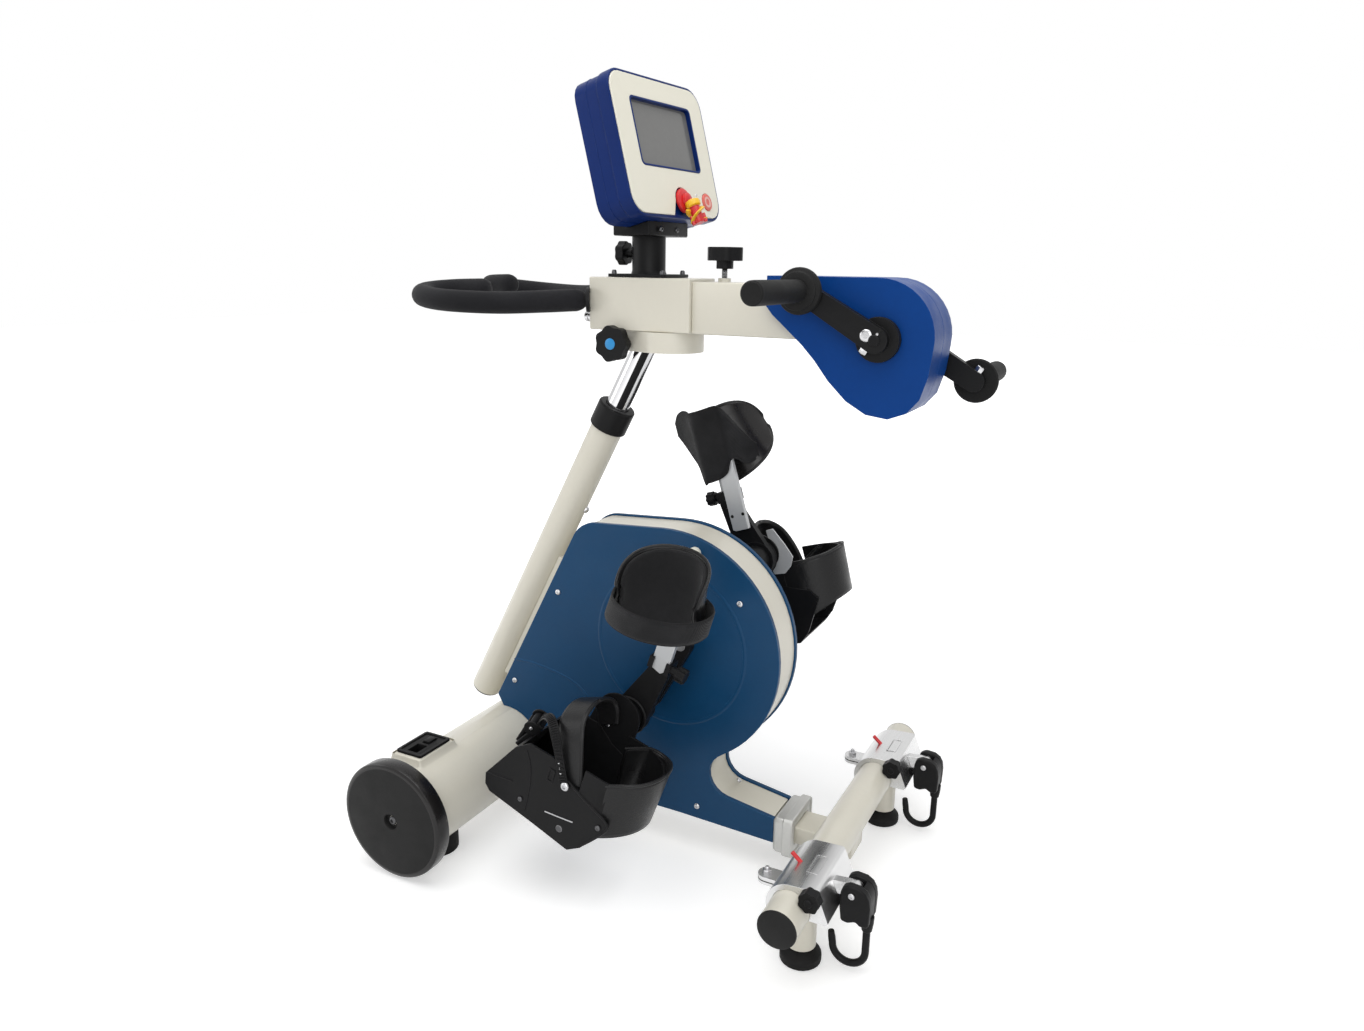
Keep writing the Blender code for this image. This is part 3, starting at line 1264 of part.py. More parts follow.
def console_face(frame):
    half = [size / 2 for size in SCREEN_SIZE]
    window = rounded_rectangle(
        (SCREEN_AT[0] - half[0], SCREEN_AT[1] - half[1]),
        (SCREEN_AT[0] + half[0], SCREEN_AT[1] + half[1]),
        0.008,
    )
    button = arc(START_AT, START_R + RUN, 0, 345, 23)
    face = piece("console_face", plate(console_outline(FACE_MARGIN), -FACE_THICK, 0.0, axis="X",
                                       holes=(window, button)), "cream_face", frame)
    low = -CONSOLE_SIZE[1] / 2 - 0.01
    foot = NOTCH_R + NOTCH_FLARE
    notch = [(STOP_AT[0] - foot, low), (STOP_AT[0] + foot, low), (STOP_AT[0] + foot, -CONSOLE_SIZE[1] / 2)]
    notch += arc(STOP_AT, NOTCH_R, 0, 180, 12) + [(STOP_AT[0] - foot, -CONSOLE_SIZE[1] / 2)]
    cut(face, plate(notch, -0.02, 0.02, axis="X"))
    back = -FACE_THICK - GAP
    lap = SCREEN_LAP
    piece("console_screen", block(
        (back - SCREEN_THICK, back),
        (SCREEN_AT[0] - half[0] - lap, SCREEN_AT[0] + half[0] + lap),
        (SCREEN_AT[1] - half[1] - lap, SCREEN_AT[1] + half[1] + lap),
    ), "screen_glass", frame)


def console_controls(frame):
    start = marker("start_button_slide", (0.0, *START_AT), frame)
    flange = -FACE_THICK - GAP
    cap = drum(START_R, flange - 0.002, 0.0015, axis="X", sides=24)
    button = piece("start_button", cap, "stop_red", start)
    join(button, drum(START_R + 0.003, flange - 0.004, flange, axis="X", sides=24))

    stop = marker("stop_button_slide", (0.0, *STOP_AT), frame)
    head = piece("stop_button", drum(STOP_R, *STOP_DISC, axis="X"), "stop_red", stop)
    join(head, drum(STOP_STEM_R, STOP_STEM_END, STOP_DISC[0] + 0.002, axis="X", sides=SMALL_SIDES))
    bore = (STOP_STEM_END - 0.01, STOP_DISC[1] + 0.01)
    cut(head, drum(KEY_NECK_R + RUN, *bore, axis="X", sides=SMALL_SIDES))

    key = marker("stop_key_axis", (0.0, *STOP_AT), frame)
    start_at, end_at = [Vector((forward, 0.0, up)) for forward, up in KEY_BODY]
    lean = (end_at - start_at).to_track_quat("Z", "Y").to_matrix().to_4x4()
    long = (end_at - start_at).length
    body = drum(KEY_R, 0.0, long, axis="Z", sides=16)
    body.transform(Matrix.Translation(start_at) @ lean)
    room = drum(KEY_R - WALL, long * 0.5, long + 0.01, axis="Z", sides=16)
    room.transform(Matrix.Translation(start_at) @ lean)
    shell = piece("stop_key", body, "key_yellow", key)
    join(shell, drum(KEY_NECK_R, KEY_NECK_END, start_at.x, axis="X", sides=SMALL_SIDES))
    cut(shell, room)


def build():
    clear_scene()
    make_finishes()
    root = marker("trainer", (-MIDDLE_X, 0.0, 0.0))
    base_tube(root)
    mains_inlet(root)
    column(root)
    main_frame(root)
    crank = leg_drive(root)
    front_end(root)
    mast = marker("mast", (0.0, 0.0, 0.0), root)
    swivel = marker("head_swivel", (0.0, 0.0, 0.0), mast)
    head(mast, swivel)
    arm = marker("arm_slide", (0.0, 0.0, 0.0), swivel)
    arm_unit(arm)
    arm_cranks(arm)
    console(swivel)
    for side in ("left", "right"):
        transport_wheel(side, root)
        rear_foot(side, root)
        casing_cover(side, root)
        leg_crank(side, crank)
        foot_unit(side, crank)
        chair_clamp(side, root)


build()
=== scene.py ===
import json
import math

import bmesh
import bpy
from mathutils import Matrix, Vector


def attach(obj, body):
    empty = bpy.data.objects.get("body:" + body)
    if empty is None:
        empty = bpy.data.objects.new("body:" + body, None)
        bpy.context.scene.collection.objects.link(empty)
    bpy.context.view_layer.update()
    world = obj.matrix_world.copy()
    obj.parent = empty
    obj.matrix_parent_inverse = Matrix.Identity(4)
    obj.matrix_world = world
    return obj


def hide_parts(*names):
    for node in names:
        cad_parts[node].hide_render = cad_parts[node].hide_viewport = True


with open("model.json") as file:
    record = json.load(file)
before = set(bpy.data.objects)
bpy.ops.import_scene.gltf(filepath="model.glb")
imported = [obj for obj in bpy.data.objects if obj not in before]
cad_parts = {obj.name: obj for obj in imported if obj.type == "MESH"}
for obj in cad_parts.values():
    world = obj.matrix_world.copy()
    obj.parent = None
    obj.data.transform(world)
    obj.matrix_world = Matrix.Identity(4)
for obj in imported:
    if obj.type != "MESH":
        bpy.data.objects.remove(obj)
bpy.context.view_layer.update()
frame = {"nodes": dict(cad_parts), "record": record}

MIDDLE_X = 0.0213096  # the machine's side-view x of the row frame's origin
NODES = frame["nodes"]
BODIES = frame["record"]["behaviour"]["bodies"]
BODY_OF = {node: body for body, nodes in BODIES.items() for node in nodes}
SIDES = ("left", "right")
X, Y, Z = Vector((1, 0, 0)), Vector((0, 1, 0)), Vector((0, 0, 1))


# Places and frames

def at(x, y, z):
    """A point in the row frame from its place in the machine's side view."""
    return Vector((x - MIDDLE_X, y, z))


def sign(side):
    """The user's left is -Y."""
    return -1 if side == "left" else 1


def axes(x, y, z):
    """A turn whose columns are three directions."""
    return Matrix((x, y, z)).transposed().to_4x4()


def turn(degrees, axis):
    return Matrix.Rotation(math.radians(degrees), 4, axis)


def move(*place):
    return Matrix.Translation(Vector(place))


def frame_on(normal):
    """A turn that carries +Z to a direction."""
    return Vector(normal).to_track_quat("Z", "Y").to_matrix().to_4x4()


def spot(base, *place):
    return base @ Vector(place)


def aim(base, *direction):
    return (base.to_3x3() @ Vector(direction)).normalized()


WORLD = Matrix.Identity(4)
COLUMN = Matrix.Translation(at(-0.401, 0, 0.202)) @ turn(27.6, "Y")
FACE = Matrix.Translation(at(-0.0515, 0, 0)) @ turn(-5.3, "Z") @ move(0.0343, 0, 1.1589) @ turn(-14.7, "Y")
PEDALS = {"left": (-0.00985, 0.27727, 18.0), "right": (0.09985, 0.49073, -17.0)}  # x, z and pitch in degrees


def foot_frame(side):
    """x to the heel and z up the shin, from the pedal pin; y is the row frame's own."""
    x, z, pitch = PEDALS[side]
    return Matrix.Translation(at(x, 0, z)) @ turn(pitch, "Y")


# Camera

CAMERA_PLACE = (0.7254, -1.3916, 0.9880)
CAMERA_TURN = (27.0412, 14.5022, 0.8407)  # azimuth, pitch and roll in degrees
CAMERA_LENS = 25.70
CAMERA_SHIFT = (-0.00048, 0.00095)


def make_camera():
    azimuth, pitch, roll = (math.radians(a) for a in CAMERA_TURN)
    right = Vector((math.cos(azimuth), math.sin(azimuth), 0))
    look = Vector((-math.sin(azimuth) * math.cos(pitch), math.cos(azimuth) * math.cos(pitch), -math.sin(pitch)))
    up = right.cross(look)
    right, up = (math.cos(roll) * right + math.sin(roll) * up, math.cos(roll) * up - math.sin(roll) * right)
    data = bpy.data.cameras.new("camera")
    data.lens = CAMERA_LENS
    data.sensor_fit = "HORIZONTAL"
    data.sensor_width = 36
    data.shift_x, data.shift_y = CAMERA_SHIFT
    data.clip_start = 0.05
    camera = bpy.data.objects.new("camera", data)
    bpy.context.scene.collection.objects.link(camera)
    camera.matrix_world = Matrix.Translation(at(*CAMERA_PLACE)) @ axes(right, up, -look)
    bpy.context.scene.camera = camera


# Materials

class Nodes:
    """A node tree that is filled one node at a time."""

    def __init__(self, tree):
        self.tree = tree

    def add(self, kind, **settings):
        node = self.tree.nodes.new(kind)
        for key, value in settings.items():
            setattr(node, key, value)
        return node

    def link(self, source, target):
        self.tree.links.new(source, target)

    def span(self, value, low, high, start=0.0, end=1.0):
        node = self.add("ShaderNodeMapRange")
        self.link(value, node.inputs["Value"])
        for key, number in (("From Min", low), ("From Max", high), ("To Min", start), ("To Max", end)):
            node.inputs[key].default_value = number
        return node.outputs["Result"]

    def math(self, kind, first, second):
        node = self.add("ShaderNodeMath", operation=kind)
        for socket, value in zip(node.inputs, (first, second)):
            if isinstance(value, (int, float)):
                socket.default_value = value
            else:
                self.link(value, socket)
        return node.outputs[0]

    def seen(self):
        """1 for what is looked at, also in a mirror or through glass, and 0 for light on other pieces."""
        path = self.add("ShaderNodeLightPath").outputs
        direct = self.math("MAXIMUM", path["Is Camera Ray"], path["Is Glossy Ray"])
        return self.math("MAXIMUM", direct, path["Is Transmission Ray"])


class Looks(Nodes):
    """A material's nodes."""

    def __init__(self, name):
        self.material = bpy.data.materials.new(name)
        self.material.use_nodes = True
        super().__init__(self.material.node_tree)
        self.shader = self.tree.nodes["Principled BSDF"]
        self.place = self.add("ShaderNodeTexCoord").outputs["Object"]

    def noise(self, scale, detail=3.0, stretch=None):
        node = self.add("ShaderNodeTexNoise")
        node.inputs["Scale"].default_value = scale
        node.inputs["Detail"].default_value = detail
        place = self.place
        if stretch:
            mapping = self.add("ShaderNodeMapping")
            mapping.inputs["Scale"].default_value = stretch
            self.link(self.place, mapping.inputs["Vector"])
            place = mapping.outputs["Vector"]
        self.link(place, node.inputs["Vector"])
        return node.outputs["Fac"]

    def mix(self, share, first, second):
        node = self.add("ShaderNodeMix", data_type="RGBA")
        self.link(share, node.inputs[0])
        for socket, value in ((node.inputs[6], first), (node.inputs[7], second)):
            if isinstance(value, tuple):
                socket.default_value = (*value, 1.0)
            else:
                self.link(value, socket)
        return node.outputs[2]

    def edges(self, radius):
        """1 on rounded edges, where a lighter colour is painted as a highlight, 0 on flat faces."""
        bevel = self.add("ShaderNodeBevel", samples=4)
        bevel.inputs["Radius"].default_value = radius
        plain = self.add("ShaderNodeNewGeometry").outputs["Normal"]
        dot = self.add("ShaderNodeVectorMath", operation="DOT_PRODUCT")
        self.link(bevel.outputs["Normal"], dot.inputs[0])
        self.link(plain, dot.inputs[1])
        return self.span(dot.outputs["Value"], 0.995, 0.90)

    def bump(self, height, distance, strength=1.0, under=None):
        node = self.add("ShaderNodeBump")
        node.inputs["Strength"].default_value = strength
        node.inputs["Distance"].default_value = distance
        self.link(height, node.inputs["Height"])
        if under is not None:
            self.link(under, node.inputs["Normal"])
        return node.outputs["Normal"]

    def give(self, value, socket):
        self.link(value, self.shader.inputs[socket])

    def set(self, **sockets):
        for key, value in sockets.items():
            self.shader.inputs[key.replace("_", " ")].default_value = value


def shade(colour, factor):
    return tuple(min(1.0, c * factor) for c in colour)


def surface(name, colour, rough, metal=0.0, vary=0.07, grain=(900.0, 0.00008), spread=0.07, wear=None,
            wear_radius=0.0012, stretch=None, **sockets):
    """One finish: colour in soft patches, fine grain in the relief, uneven gloss, and a painted highlight: a lighter
    colour along rounded edges, in patches.
    """
    looks = Looks(name)
    dark, light = shade(colour, 1 - vary), shade(colour, 1 + vary)
    mixed = looks.mix(looks.span(looks.noise(7.0, 4.0), 0.3, 0.7), dark, light)
    mixed = looks.mix(looks.span(looks.noise(140.0, 2.0, stretch), 0.35, 0.75, 0.0, 0.5), mixed, dark)
    # Painted highlight: a lighter copy of the colour laid along rounded edges, broken into patches.
    if wear:
        highlight_colour, amount = wear
        patchy = looks.span(looks.noise(60.0), 0.35, 0.65, 0.25, 1.0)
        highlit_edges = looks.math("MULTIPLY", looks.edges(wear_radius), patchy)
        mixed = looks.mix(looks.math("MULTIPLY", highlit_edges, amount), mixed, highlight_colour)
    looks.give(mixed, "Base Color")
    looks.give(looks.span(looks.noise(24.0, 5.0, stretch), 0.3, 0.7, rough - spread, rough + spread), "Roughness")
    scale, height = grain
    fine = looks.bump(looks.noise(scale, 2.0, stretch), height)
    looks.give(looks.bump(looks.noise(30.0, 2.0), 0.00012, 0.5, fine), "Normal")
    looks.set(Metallic=metal, **sockets)
    return looks.material


def webbing():
    """Woven black strap: two crossed sets of ribs, with a soft sheen."""
    looks = Looks("webbing")
    heights = []
    for direction in ("X", "Z"):
        wave = looks.add("ShaderNodeTexWave", wave_type="BANDS", bands_direction=direction)
        for key, value in (("Scale", 260.0), ("Distortion", 0.8), ("Detail", 1.0)):
            wave.inputs[key].default_value = value
        looks.link(looks.place, wave.inputs["Vector"])
        heights.append(wave.outputs["Fac"])
    weave = looks.math("MULTIPLY", *heights)
    colour = looks.mix(weave, (0.010, 0.010, 0.011), (0.024, 0.024, 0.026))
    dust = looks.span(looks.noise(18.0), 0.35, 0.7, 0.0, 0.5)
    looks.give(looks.mix(dust, colour, (0.032, 0.032, 0.034)), "Base Color")
    looks.give(looks.span(looks.noise(40.0), 0.3, 0.7, 0.74, 0.92), "Roughness")
    looks.give(looks.bump(weave, 0.00035), "Normal")
    looks.set(Sheen_Weight=0.10, Sheen_Roughness=0.45, Specular_IOR_Level=0.15)
    return looks.material


# The lighter colour and share given with a finish are a painted highlight along its rounded edges.
FINISHES = {
    "cream_paint": dict(colour=(0.70, 0.67, 0.575), rough=0.36, vary=0.025, grain=(700.0, 0.00005),
                        wear=((0.84, 0.82, 0.75), 0.5), Coat_Weight=0.25, Coat_Roughness=0.15),
    "cream_face": dict(colour=(0.81, 0.785, 0.67), rough=0.42, vary=0.02, grain=(900.0, 0.00004),
                       wear=((0.90, 0.89, 0.84), 0.4)),
    "blue_cover": dict(colour=(0.004, 0.050, 0.130), rough=0.38, grain=(650.0, 0.00006),
                       wear=((0.03, 0.13, 0.29), 0.7), wear_radius=0.002, Specular_IOR_Level=0.2),
    "blue_housing": dict(colour=(0.002, 0.044, 0.215), rough=0.40, vary=0.06, grain=(650.0, 0.00006),
                         wear=((0.04, 0.14, 0.40), 0.5), Specular_IOR_Level=0.12),
    "navy_case": dict(colour=(0.003, 0.020, 0.125), rough=0.36, vary=0.08, grain=(800.0, 0.00006),
                      wear=((0.02, 0.06, 0.22), 0.5), wear_radius=0.0018, Specular_IOR_Level=0.12),
    "black_plastic": dict(colour=(0.0085, 0.0085, 0.009), rough=0.40, vary=0.18, grain=(800.0, 0.00012),
                          wear=((0.04, 0.04, 0.042), 0.5), Specular_IOR_Level=0.12),
    "gloss_black": dict(colour=(0.008, 0.007, 0.007), rough=0.26, vary=0.15, grain=(500.0, 0.00004),
                        wear=((0.04, 0.04, 0.042), 0.5), Specular_IOR_Level=0.35),
    "wheel_matte": dict(colour=(0.014, 0.014, 0.014), rough=0.55, vary=0.2, grain=(800.0, 0.0001),
                        wear=((0.04, 0.04, 0.04), 0.5), Specular_IOR_Level=0.15),
    "black_rubber": dict(colour=(0.011, 0.011, 0.011), rough=0.68, vary=0.20, grain=(600.0, 0.00020),
                         wear=((0.05, 0.05, 0.05), 0.5), Specular_IOR_Level=0.15),
    "black_foam": dict(colour=(0.013, 0.013, 0.015), rough=0.86, vary=0.20, grain=(1100.0, 0.00045),
                       spread=0.05, Sheen_Weight=0.08, Sheen_Roughness=0.5, Specular_IOR_Level=0.15),
    "webbing_plain": dict(colour=(0.015, 0.015, 0.016), rough=0.80, vary=0.2, grain=(1000.0, 0.0004),
                          spread=0.06, Sheen_Weight=0.06, Sheen_Roughness=0.5, Specular_IOR_Level=0.15),
    "leather": dict(colour=(0.009, 0.009, 0.0095), rough=0.34, vary=0.2, grain=(420.0, 0.00035), spread=0.10,
                    wear=((0.035, 0.035, 0.037), 0.4), wear_radius=0.003, Specular_IOR_Level=0.25),
    "aluminium": dict(colour=(0.66, 0.66, 0.66), rough=0.27, metal=1.0, vary=0.05, grain=(500.0, 0.00005),
                      stretch=(1.0, 0.08, 1.0), wear=((0.85, 0.85, 0.86), 0.6)),
    "bar_silver": dict(colour=(0.50, 0.51, 0.52), rough=0.38, metal=0.3, vary=0.05, grain=(600.0, 0.00006),
                       stretch=(1.0, 1.0, 0.08), wear=((0.75, 0.75, 0.76), 0.5)),
    "cast_grey": dict(colour=(0.56, 0.56, 0.54), rough=0.45, metal=0.55, vary=0.06, grain=(500.0, 0.00020),
                      wear=((0.80, 0.80, 0.79), 0.6)),
    "chrome": dict(colour=(0.60, 0.60, 0.61), rough=0.13, metal=1.0, vary=0.03, grain=(300.0, 0.00001),
                   spread=0.03),
    "steel": dict(colour=(0.52, 0.52, 0.53), rough=0.30, metal=1.0, vary=0.08, grain=(900.0, 0.00005),
                  wear=((0.8, 0.8, 0.82), 0.6)),
    "dark_steel": dict(colour=(0.10, 0.10, 0.105), rough=0.38, metal=0.9, vary=0.1, wear=((0.3, 0.3, 0.3), 0.6)),
    "screen_glass": dict(colour=(0.160, 0.160, 0.155), rough=0.14, vary=0.06, grain=(200.0, 0.000005),
                         spread=0.03, Specular_IOR_Level=0.4),
    "stop_red": dict(colour=(0.62, 0.018, 0.022), rough=0.30, vary=0.06, grain=(900.0, 0.00004),
                     wear=((0.78, 0.10, 0.10), 0.5)),
    "red_pin": dict(colour=(0.60, 0.02, 0.025), rough=0.35, vary=0.08, wear=((0.75, 0.12, 0.12), 0.5)),
    "key_yellow": dict(colour=(0.86, 0.50, 0.02), rough=0.34, vary=0.06, grain=(900.0, 0.00005),
                       wear=((0.95, 0.68, 0.15), 0.5)),
    "knob_cyan": dict(colour=(0.013, 0.246, 0.578), rough=0.35, vary=0.05),
    "button_pale": dict(colour=(0.78, 0.46, 0.40), rough=0.40, vary=0.04),
    "button_salmon": dict(colour=(0.70, 0.135, 0.105), rough=0.42, vary=0.05),
}
MATERIALS = {name: surface(name, **values) for name, values in FINISHES.items()}
MATERIALS["webbing"] = webbing()


# Outlines and lines

def circle(radius, sides=24):
    return [(radius * math.cos(2 * math.pi * i / sides), radius * math.sin(2 * math.pi * i / sides))
            for i in range(sides)]


def oval(across, high, sides):
    return [(across * a, high * b) for a, b in circle(1.0, sides)]


def around(middle, radius, start=0.0, end=360.0, steps=32):
    """Points of an arc; a whole circle leaves out its last point."""
    count = steps if abs(end - start) >= 360 else steps + 1
    angles = [math.radians(start + (end - start) * k / steps) for k in range(count)]
    return [(middle[0] + radius * math.cos(a), middle[1] + radius * math.sin(a)) for a in angles]


def rounded(half, radius, steps=6, middle=(0.0, 0.0)):
    """A rectangle with round corners, from half its two sizes."""
    x, y = half[0] - radius, half[1] - radius
    corners = ((x, y, 0), (-x, y, 90), (-x, -y, 180), (x, -y, 270))
    return [point for a, b, start in corners
            for point in around((middle[0] + a, middle[1] + b), radius, start, start + 90, steps)]


def band(width, thick, soft=0.25):
    """A strap's section: thin, with rounded long edges. Width lies across, thickness along up."""
    w, t, s = width / 2, thick / 2, thick * soft
    return [(-w, -t + s), (-w + s, -t), (w - s, -t), (w, -t + s), (w, t - s), (w - s, t), (-w + s, t), (-w, t - s)]


def curve_points(points, steps):
    """A smooth line through the points."""
    points = [Vector(p) for p in points]
    last = len(points) - 1
    line = []
    for i in range(last):
        before, start, end, after = (points[max(0, min(last, k))] for k in (i - 1, i, i + 1, i + 2))
        for step in range(steps):
            t = step / steps
            line.append(0.5 * (2 * start + (end - before) * t + (2 * before - 5 * start + 4 * end - after) * t ** 2
                               + (3 * start - before - 3 * end + after) * t ** 3))
    return line + [points[-1]]


def join_rows(form, first, second, closed=True):
    """Faces between two rows of vertices."""
    count = len(first)
    for i in range(count if closed else count - 1):
        form.faces.new((first[i], first[(i + 1) % count], second[(i + 1) % count], second[i]))


# Piece makers: each returns one object that rides on a body

def finish_piece(name, form, finish, body, slot=None, bevel=0.0, segments=2, sharp=32.0, subdivide=0, replaces=()):
    """Turns a bmesh into a shaded piece with rounded edges."""
    bmesh.ops.recalc_face_normals(form, faces=form.faces)
    mesh = bpy.data.meshes.new(name)
    form.to_mesh(mesh)
    form.free()
    mesh.shade_smooth()
    mesh.set_sharp_from_angle(angle=math.radians(sharp))
    mesh.materials.append(MATERIALS[finish])
    piece = bpy.data.objects.new(name, mesh)
    bpy.context.scene.collection.objects.link(piece)
    if bevel:
        round_off = piece.modifiers.new("rounded_edges", "BEVEL")
        round_off.width = bevel
        round_off.segments = segments
        round_off.limit_method = "ANGLE"
        round_off.angle_limit = math.radians(sharp)
        round_off.use_clamp_overlap = True
        round_off.harden_normals = True
    if subdivide:
        smooth = piece.modifiers.new("smooth", "SUBSURF")
        smooth.levels = subdivide
        smooth.render_levels = subdivide
    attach(piece, body)
    if replaces:
        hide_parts(*replaces)
    return piece


def thicken(piece, thick):
    solid = piece.modifiers.new("thickness", "SOLIDIFY")
    solid.thickness = thick
    solid.offset = 0.0


def dress(node, finish=None, **options):
    """Replaces a CAD node by its own surface, with whole flat faces and rounded edges."""
    form = bmesh.new()
    form.from_mesh(NODES[node].data)
    bmesh.ops.remove_doubles(form, verts=form.verts, dist=1e-5)
    bmesh.ops.dissolve_limit(form, angle_limit=math.radians(0.5), verts=form.verts, edges=form.edges)
    slot = NODES[node].data.materials[0].name.split(".")[0]
    return finish_piece(f"{node}_dressed", form, finish or slot, BODY_OF[node], slot, replaces=(node,), **options)


def lathe(name, profile, where, normal, finish, body, sides=32, closed=False, **options):
    """A solid turned from (radius, height) points along a direction. A closed profile makes a ring."""
    form = bmesh.new()
    rings = [[form.verts.new((a, b, height)) for a, b in (circle(radius, sides) if radius else [(0, 0)])]
             for radius, height in profile]
    for low, high in zip(rings, rings[1:] + (rings[:1] if closed else [])):
        for i in range(sides):
            ends = [low[i % len(low)], low[(i + 1) % len(low)], high[(i + 1) % len(high)], high[i % len(high)]]
            corners = [v for k, v in enumerate(ends) if v not in ends[:k]]
            if len(corners) > 2:
                form.faces.new(corners)
    for ring in (rings[0], rings[-1]):
        if len(ring) > 1 and not closed:
            form.faces.new(ring)
    form.transform(Matrix.Translation(where) @ frame_on(normal))
    return finish_piece(name, form, finish, body, **options)


def rivet(name, where, normal, crown, radius, high, body, sides=12, sink=0.0):
    """A low round head with a chamfer around its crown."""
    profile = [(0.0, high), (crown, high - 0.0004), (radius, -sink)]
    return lathe(name, profile, where, normal, "steel", body, sides=sides)


RECESSES = {
    "socket": lambda inner, a: inner * 1.25 / math.cos((a % (math.pi / 3)) - math.pi / 6),
    "cross": lambda inner, a: inner * (1.30 if (a % (math.pi / 2)) < 0.28 else 0.52),
}


def screw(name, where, normal, radius, body, finish="steel", recess="cross", high=None):
    """A domed screw with a cross or a hexagon sunk in its head, or a hexagon bolt head."""
    high = high or radius * 0.55
    sunk = recess != "hex_head"
    sides = 24 if sunk else 6
    profile = [(radius, -0.0006), (radius, high * 0.85), (radius * 0.86, high)]
    if sunk:
        profile = [(radius, -0.0006), (radius, high * 0.35), (radius * 0.88, high * 0.75),
                   (radius * 0.60, high * 0.96)]
    form = bmesh.new()
    rings = [[form.verts.new((a, b, h)) for a, b in circle(r, sides)] for r, h in profile]
    if sunk:
        inner = radius * (0.34 if recess == "socket" else 0.40)
        reach = [RECESSES[recess](inner, 2 * math.pi * i / sides) for i in range(sides)]
        for depth in (0.96, 0.30):
            rings.append([form.verts.new((r * a, r * b, high * depth)) for r, (a, b) in zip(reach, circle(1.0, sides))])
    for low, top in zip(rings, rings[1:]):
        join_rows(form, low, top)
    form.faces.new(rings[0])
    form.faces.new(rings[-1])
    form.transform(Matrix.Translation(where) @ frame_on(normal))
    return finish_piece(name, form, finish, body, sharp=40.0)


def sweep(name, line, section, finish, body, up=Z, scale=None, closed_line=False, **options):
    """A closed section carried along a line, with up kept across it. section is a list of (side, up) points."""
    form = bmesh.new()
    rings = []
    count = len(line)
    for i, point in enumerate(line):
        before = line[(i - 1) % count] if closed_line else line[max(0, i - 1)]
        after = line[(i + 1) % count] if closed_line else line[min(count - 1, i + 1)]
        along = (after - before).normalized()
        high = up[i] if isinstance(up, list) else up
        side = along.cross(high).normalized()
        high = side.cross(along).normalized()
        size = scale[i] if scale else 1.0
        rings.append([form.verts.new(point + side * a * size + high * b * size) for a, b in section])
    for low, high in list(zip(rings, rings[1:])) + ([(rings[-1], rings[0])] if closed_line else []):
        join_rows(form, low, high)
    if not closed_line:
        form.faces.new(rings[0])
        form.faces.new(rings[-1])
    return finish_piece(name, form, finish, body, **options)


ORDERS = {"X": lambda a, b, c: (c, a, b), "Y": lambda a, b, c: (a, c, b), "Z": lambda a, b, c: (a, b, c)}


def panel(name, outline, low, high, axis, base, finish, body, **options):
    """A flat outline given a thickness along an axis of a frame. Its points are (y, z), (x, z) or (x, y)."""
    form = bmesh.new()
    rings = [[form.verts.new(ORDERS[axis](a, b, c)) for a, b in outline] for c in (low, high)]
    join_rows(form, *rings)
    form.faces.new(rings[0])
    form.faces.new(rings[1])
    form.transform(base)
    return finish_piece(name, form, finish, body, **options)


def ring_panel(name, outer, inner, low, high, axis, base, finish, body, **options):
    """A flat frame between two outlines with as many points."""
    form = bmesh.new()
    loops = [[form.verts.new(ORDERS[axis](a, b, c)) for a, b in outline]
             for outline, c in ((outer, low), (outer, high), (inner, high), (inner, low))]
    for first, second in zip(loops, loops[1:] + loops[:1]):
        join_rows(form, first, second)
    form.transform(base)
    return finish_piece(name, form, finish, body, **options)


def box_piece(name, low, high, base, finish, body, **options):
    return panel(name, [(low[0], low[1]), (high[0], low[1]), (high[0], high[1]), (low[0], high[1])],
                 low[2], high[2], "Z", base, finish, body, **options)


def ribbon(name, lows, highs, thick, finish, body, steps=5, across=6, **options):
    """A sheet between two edges that are given point by point, with a little thickness."""
    low_line, high_line = curve_points(lows, steps), curve_points(highs, steps)
    form = bmesh.new()
    rows = [[form.verts.new(a.lerp(b, k / across)) for k in range(across + 1)] for a, b in zip(low_line, high_line)]
    for first, second in zip(rows, rows[1:]):
        join_rows(form, second, first, closed=False)
    area = sum(face.calc_area() for face in form.faces)
    length = max(sum((b - a).length for a, b in zip(line, line[1:])) for line in (low_line, high_line))
    width = max((b - a).length for a, b in zip(low_line, high_line))
    piece = finish_piece(name, form, finish, body, **options)
    thicken(piece, thick)
    return piece, (width, length), min(area, width * length)


# Floor, backdrop and light

INDIRECT = 0.42  # how strongly the white surroundings light the machine
LAMPS = {"ceiling": ((0.2, -0.5, 3.2), (0, 0, 0.5), (3.0, 3.0), 62.0),
         "front": ((1.8, -3.0, 1.9), (0, 0, 0.6), (2.4, 1.8), 34.0),
         "side": ((-2.8, -1.6, 1.6), (0, 0, 0.6), (1.6, 1.8), 16.0)}


